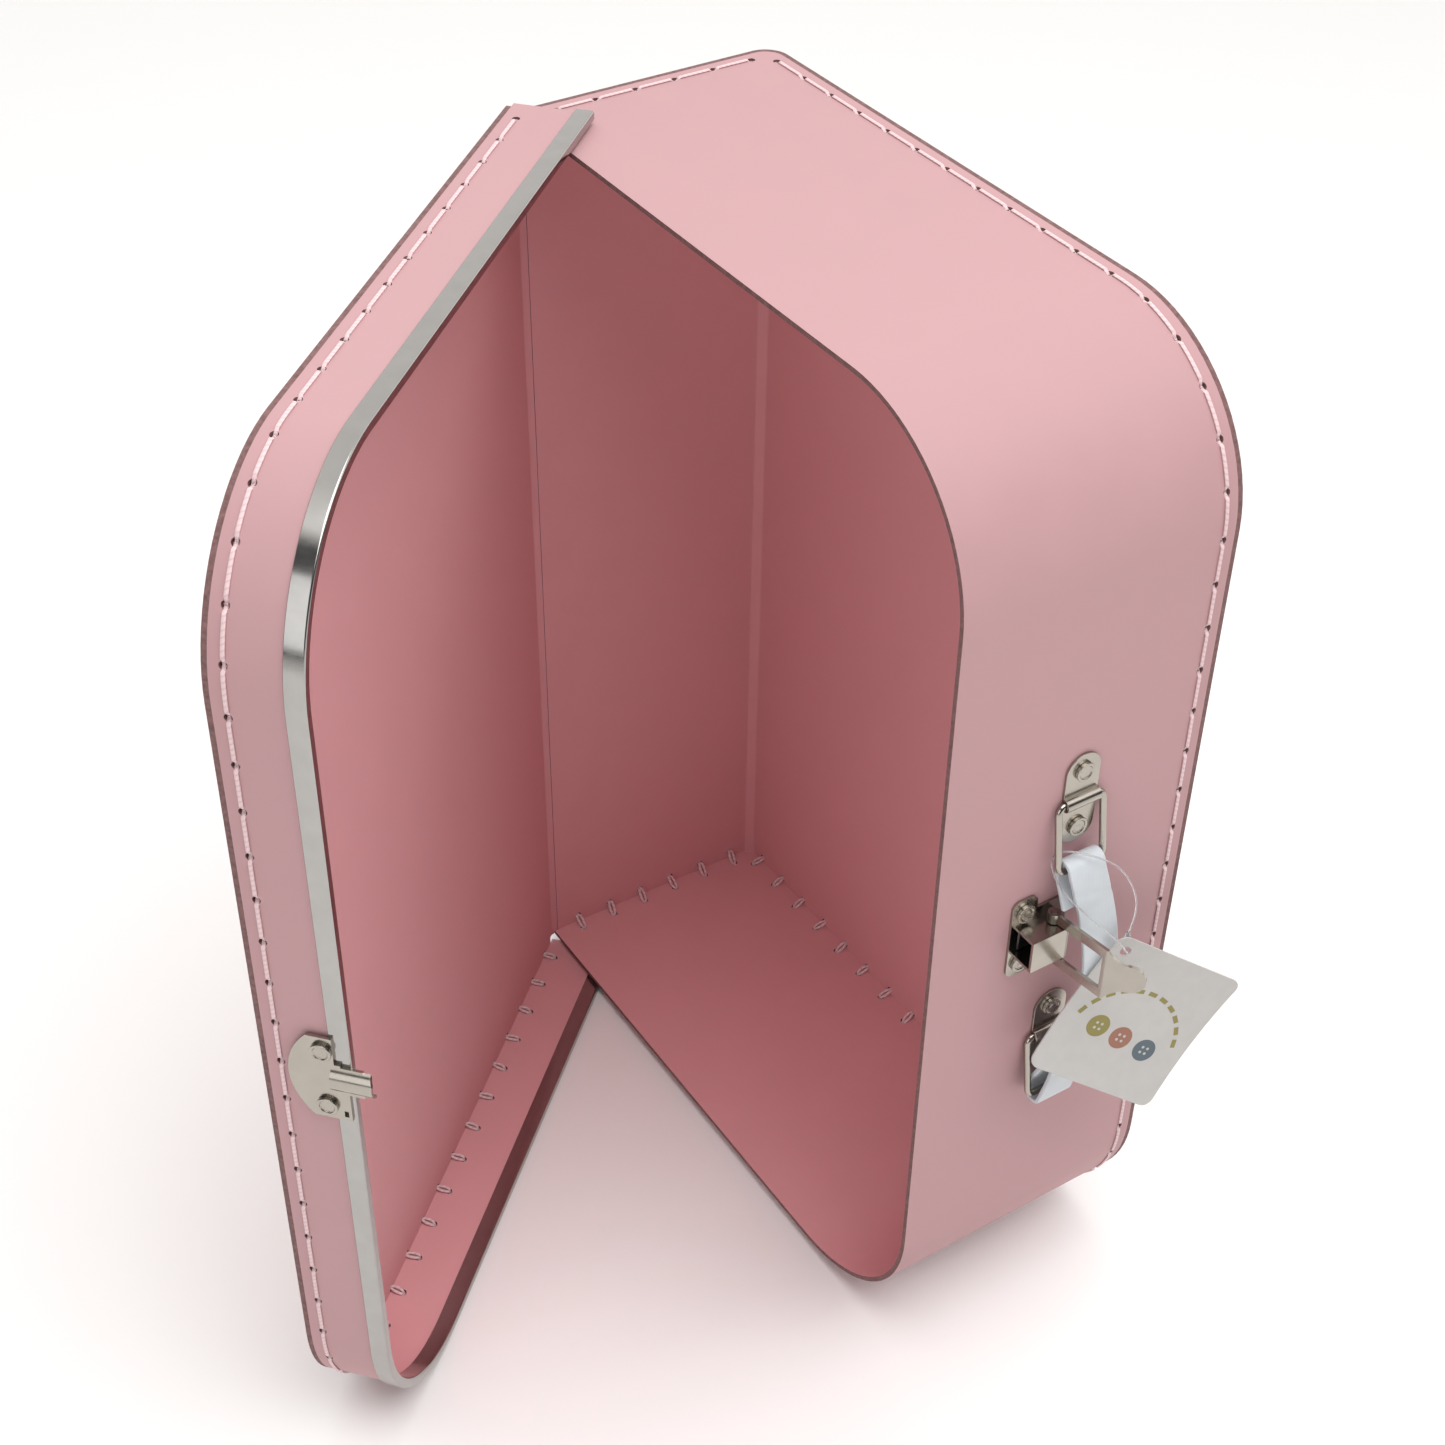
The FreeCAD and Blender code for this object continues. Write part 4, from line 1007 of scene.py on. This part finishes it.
class CASE_OT_stage(BuildOperator, bpy.types.Operator):
    """Lay the pale floor, hang the soft lights and set the camera"""
    bl_idname = "case.stage"
    bl_label = "Stage"

    def execute(self, context):
        scene = context.scene
        scene.view_settings.view_transform = "Standard"
        world = bpy.data.worlds.new("studio")
        scene.world = world
        world.use_nodes = True
        tree = world.node_tree
        back = tree.nodes["Background"]
        way = add(tree, "ShaderNodeTexCoord").outputs["Generated"]
        height = add(tree, "ShaderNodeVectorMath", {1: SKY_SIDE}, {0: way}, operation="DOT_PRODUCT")
        sky = add(tree, "ShaderNodeValToRGB", None, {"Fac": height.outputs["Value"]}, back.inputs["Color"])
        sky.color_ramp.elements.new(SKY[1][0])
        for stop, (position, tone) in zip(sky.color_ramp.elements, SKY):
            stop.position = position
            stop.color = tone
        back.inputs["Strength"].default_value = SKY_STRENGTH
        deselect()
        bpy.ops.mesh.primitive_plane_add(size=FLOOR_SIZE, location=(0.0, 0.0, 0.0))
        floor = named("floor")
        paper, _, shader = new_material("plain_pale_floor", 0.9)
        shader.inputs["Base Color"].default_value = to_linear("faf9f8") + (1.0,)
        dress(floor, paper)
        for name, place, aim, size, power in LAMPS:
            light = bpy.data.lights.new(name, "AREA")
            light.size = size
            light.energy = power
            lamp = bpy.data.objects.new(name, light)
            scene.collection.objects.link(lamp)
            lamp.location = place
            lamp.rotation_euler = (Vector(aim) - Vector(place)).to_track_quat("-Z", "Y").to_euler()
        lens = bpy.data.cameras.new("camera")
        lens.lens = LENS
        lens.sensor_width = SENSOR
        camera = bpy.data.objects.new("camera", lens)
        scene.collection.objects.link(camera)
        turn = Matrix((CAMERA_RIGHT, -CAMERA_DOWN, -CAMERA_FORWARD)).transposed()
        camera.matrix_world = Matrix.Translation(case(*CAMERA)) @ turn.to_4x4()
        scene.camera = camera
        return {"FINISHED"}


class CASE_OT_tag_loop(BuildOperator, bpy.types.Operator):
    """Thread the nylon loop through the card and round the ring, with its card, print and lock"""
    bl_idname = "case.tag_loop"
    bl_label = "Tag and loop"

    def execute(self, context):
        card = node_copy("tag_card", "tag_card_sheet")
        round_edges(card, 0.08 * MM, 50.0, 1)
        dress(card, printed_card("uncoated_white_card", colours().card))
        settle(card, "tag", "tag_paper", "tag_card")
        for name, spots in self.prints().items():
            piece = join(spots, name)
            settle(piece, "tag", "tag_paper")
        curve = bpy.data.curves.new("tag_loop_line", "CURVE")
        curve.dimensions = "3D"
        curve.bevel_depth = LINE_RADIUS * MM
        curve.bevel_resolution = 4
        curve.resolution_u = 16
        spline = curve.splines.new("NURBS")
        ends = [LOCK + Vector((0.0, 0.0, side * 0.05)) for side in (-1, 1)]
        route = ends[:1] + [Vector(p) for p in LOOP_ROUTE] + ends[1:]
        spline.points.add(len(route) - 1)
        for point, place in zip(spline.points, route):
            point.co = (*case(*place), 1.0)
        spline.order_u = 3
        spline.use_endpoint_u = True
        curve.use_fill_caps = True
        loop = bpy.data.objects.new("tag_loop_line", curve)
        context.scene.collection.objects.link(loop)
        curve.materials.append(nylon_line("clear_nylon_line"))
        settle(loop, "tag", "nylon", "tag_loop")
        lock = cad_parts["tag_loop_lock"]
        dress(lock, nylon_line("clear_nylon_line"))
        tuple(case(*route[0]))
        return {"FINISHED"}

    def prints(self):
        """A dashed arc like a row of stitches, and three sewing buttons under it."""
        inks = {name: printed_card(name + "_ink_on_card", to_linear(code), 0.5)
                for name, code in (("olive", "8d8347"), ("brown", "9a6a58"), ("slate", "57656d"))}
        angles = [math.radians(200 + 14 * i) for i in range(DASHES)]
        dashes = [dash_outline(ARC_CENTRE, ARC_RADIUS, angle, DASH_LENGTH, DASH_WIDTH) for angle in angles]
        spots = {"tag_print_dashes": [print_spot("dash", dash, inks["olive"]) for dash in dashes]}
        pale = printed_card("uncoated_white_card", colours().card)
        for name, across, down in BUTTONS:
            button = [print_spot("button", round_outline(across, down, BUTTON_RADIUS, 28), inks[name])]
            for dx, dy in ((-0.8, -0.8), (0.8, -0.8), (0.8, 0.8), (-0.8, 0.8)):
                hole = print_spot("hole", round_outline(across + dx, down + dy, BUTTON_HOLE, 12), pale)
                hole.data.transform(Matrix.Translation(TAG_OUT * 0.05 * MM))
                button.append(hole)
            spots["tag_print_button_" + name] = button
        return spots


class CASE_OT_boards(BuildOperator, bpy.types.Operator):
    """Face the four bent and cut boards with paper and show their cut edges"""
    bl_idname = "case.boards"
    bl_label = "Boards"

    def execute(self, context):
        board("base_shell", "base_shell_board", "case", shell_outward, scored_inward)
        board("base_wall", "base_wall_board", "case", wall_outward)
        board("lid_panel", "lid_panel_board", "lid", panel_outward)
        board("lid_rim", "lid_rim_board", "lid", lid_wall_outward)
        return {"FINISHED"}


class CASE_OT_hinge_crease(BuildOperator, bpy.types.Operator):
    """Press the thin crease that joins spine and lid panel"""
    bl_idname = "case.hinge_crease"
    bl_label = "Hinge crease"

    def execute(self, context):
        deselect()
        bpy.ops.mesh.primitive_grid_add(x_subdivisions=14, y_subdivisions=40, size=1.0)
        piece = named("hinge_crease_board")
        inward = Vector((0.8, -0.35, 0.0)).normalized()
        for vertex in piece.data.vertices:
            t = (vertex.co.x + 0.5) * 2 - 1
            z = (vertex.co.y + 0.5) * LENGTH
            reach = abs(t) * CREASE_REACH * 1.01
            place = HINGE + (Vector((0.0, reach, 0.0)) if t < 0 else lid_direction(reach, 0.0))
            soft = math.exp(-(t / 0.25) ** 2)
            vertex.co = case(*(Vector((place.x, place.y, z)) + inward * CREASE_DENT * soft))
        thicken(piece, CREASE_THICK * MM)
        round_edges(piece, 0.12 * MM, 60.0, 2)
        face_boards(piece, lambda point: Vector((-0.8, -0.6, 0.0)), least=0.4)
        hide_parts("hinge_crease")
        end = lid(CREASE_REACH, 0.0, LENGTH / 2)
        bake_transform(piece)
        return {"FINISHED"}


class CASE_OT_outside_stitches(BuildOperator, bpy.types.Operator):
    """Sew the runs of thread that lie on the outside of every seam"""
    bl_idname = "case.outside_stitches"
    bl_label = "Outside stitches"

    def execute(self, context):
        prototype = straight_bar("thread_run", 7, 8)
        for sites, name, body, node in (
                (list(outline_sites(BASE, case, case_direction)) + list(spine_sites()),
                 "base_seam_outside", "case", "base_outer_stitches"),
                (outline_sites(LID, lid, lid_direction), "lid_seam_outside", "lid", "lid_outer_stitches")):
            runs = [surface_run(prototype, "run", length, site) for length, site in sites]
            stitch_piece(runs, name, body, node)
        remove(prototype)
        return {"FINISHED"}


class CASE_OT_inside_stitches(BuildOperator, bpy.types.Operator):
    """Sew the doubled loops that cross each seam's corner inside"""
    bl_idname = "case.inside_stitches"
    bl_label = "Inside stitches"

    def execute(self, context):
        prototype = straight_bar("thread_loop", 7, 12)
        loops = self.outline_loops(prototype, BASE, case, case_direction, 2.3)
        for z, way in ((0.0, -1.0), (LENGTH, 1.0)):
            for index, y in enumerate(spine_stops()):
                sway = 0.8 * math.sin(index * 1.9 + way)
                loops += inner_loop(prototype, "loop", case(0.0, y, z), Vector((0, 0, way)),
                                    Vector((-1, 0, 0)), Vector((0, 1, 0)), SEAM_SPINE, sway)
        stitch_piece(loops, "base_seam_inside", "case", "base_inner_stitches")
        loops = self.outline_loops(prototype, LID, lid, lid_direction, 2.7)
        stitch_piece(loops, "lid_seam_inside", "lid", "lid_inner_stitches")
        remove(prototype)
        return {"FINISHED"}

    def outline_loops(self, prototype, outline, to_frame, direction, change):
        """The loops round the three sewn sides, each leaning a little differently."""
        loops = []
        for index, seat in enumerate(seam_corners(outline, to_frame, direction)):
            sway = 0.9 * math.sin(index * change)
            loops += inner_loop(prototype, "loop", *seat, outline.inset, sway)
        return loops


class CASE_OT_metalwork(BuildOperator, bpy.types.Operator):
    """Round the edges of the pressed plates, latch and edging, smooth the rings, and plate them"""
    bl_idname = "case.metalwork"
    bl_label = "Metalwork"

    def execute(self, context):
        model_trim()
        width = context.scene.case_sizes.metal_round
        for node, body, slot, finish, size in (
                ("strike_plate", "lid", "nickel_plate", nickel(), width * 0.8),
                ("latch_housing", "case", "nickel_plate", nickel(), width),
                ("latch_lever", "latch_lever", "nickel_plate", nickel(), width),
                ("latch_pin", "case", "nickel_plate", nickel_wire(), width),
                ("latch_spring", "case", "spring_steel", spring_steel(), width * 0.3),
                ("upper_handle_plate", "case", "nickel_plate", nickel(), width),
                ("lower_handle_plate", "case", "nickel_plate", nickel(), width)):
            piece = node_copy(node, node + "_pressing")
            round_edges(piece, size)
            dress(piece, finish)
            settle(piece, body, slot, node)
        for node in ("upper_ring", "lower_ring"):
            piece = node_copy(node, node + "_wire")
            smooth(piece, 40.0)
            dress(piece, nickel_wire())
            settle(piece, node, "nickel_wire", node)
        return {"FINISHED"}


class CASE_OT_rivets(BuildOperator, bpy.types.Operator):
    """Set the rivets of the handle plates, the latch and the strike"""
    bl_idname = "case.rivets"
    bl_label = "Rivets"

    def execute(self, context):
        face = WIDTH + SHEET
        out = Vector((1, 0, 0))
        handle = [case(face, HANDLE_Y, z + side * PLATE_RIVETS) for z in PLATES_Z for side in (1, -1)]
        rivets("handle_plate_rivets", handle, out, SHEET + BOARD, "case", "handle_rivets")
        latch = [case(face, LATCH_RIVETS_Y, HARDWARE_Z + side * LATCH_RIVETS) for side in (1, -1)]
        rivets("latch_plate_rivets", latch, out, SHEET + BOARD, "case", "latch_rivets")
        strike_face = LID.far + STRIKE_LIFT + SHEET
        strike = [lid(strike_face, STRIKE_RIVETS_Y, HARDWARE_Z + side * STRIKE_RIVETS) for side in (1, -1)]
        grip = STRIKE_LIFT + SHEET + BOARD
        rivets("strike_plate_rivets", strike, lid_direction(1, 0), grip, "lid", "strike_rivets", STRIKE_TAIL)
        return {"FINISHED"}


class CASE_OT_strap(BuildOperator, bpy.types.Operator):
    """Bend the strap round both rings and bow it past the lever"""
    bl_idname = "case.strap"
    bl_label = "Handle strap"

    def execute(self, context):
        model_strap()
        return {"FINISHED"}


class CASE_PT_panel(bpy.types.Panel):
    """Sidebar list of the case's pieces"""
    bl_idname = "CASE_PT_panel"
    bl_label = "Fibreboard case"
    bl_space_type = "VIEW_3D"
    bl_region_type = "UI"
    bl_category = "Case"

    def draw(self, context):
        for operator in OPERATORS:
            self.layout.operator(operator.bl_idname)
        for group in (context.scene.case_sizes, context.scene.case_colours):
            for key in group.__annotations__:
                self.layout.prop(group, key)


OPERATORS = (CASE_OT_stage, CASE_OT_tag_loop, CASE_OT_boards, CASE_OT_hinge_crease, CASE_OT_outside_stitches,
             CASE_OT_inside_stitches, CASE_OT_metalwork, CASE_OT_rivets, CASE_OT_strap)
CLASSES = (CaseSizes, CaseColours) + OPERATORS + (CASE_PT_panel,)


def register():
    for item in CLASSES:
        bpy.utils.register_class(item)
    bpy.types.Scene.case_sizes = PointerProperty(type=CaseSizes)
    bpy.types.Scene.case_colours = PointerProperty(type=CaseColours)


def unregister():
    del bpy.types.Scene.case_colours
    del bpy.types.Scene.case_sizes
    for item in reversed(CLASSES):
        bpy.utils.unregister_class(item)


def main():
    register()
    for operator in OPERATORS:
        group, name = operator.bl_idname.split(".")
        getattr(getattr(bpy.ops, group), name)()
    deselect()


if __name__ == "__main__":
    main()
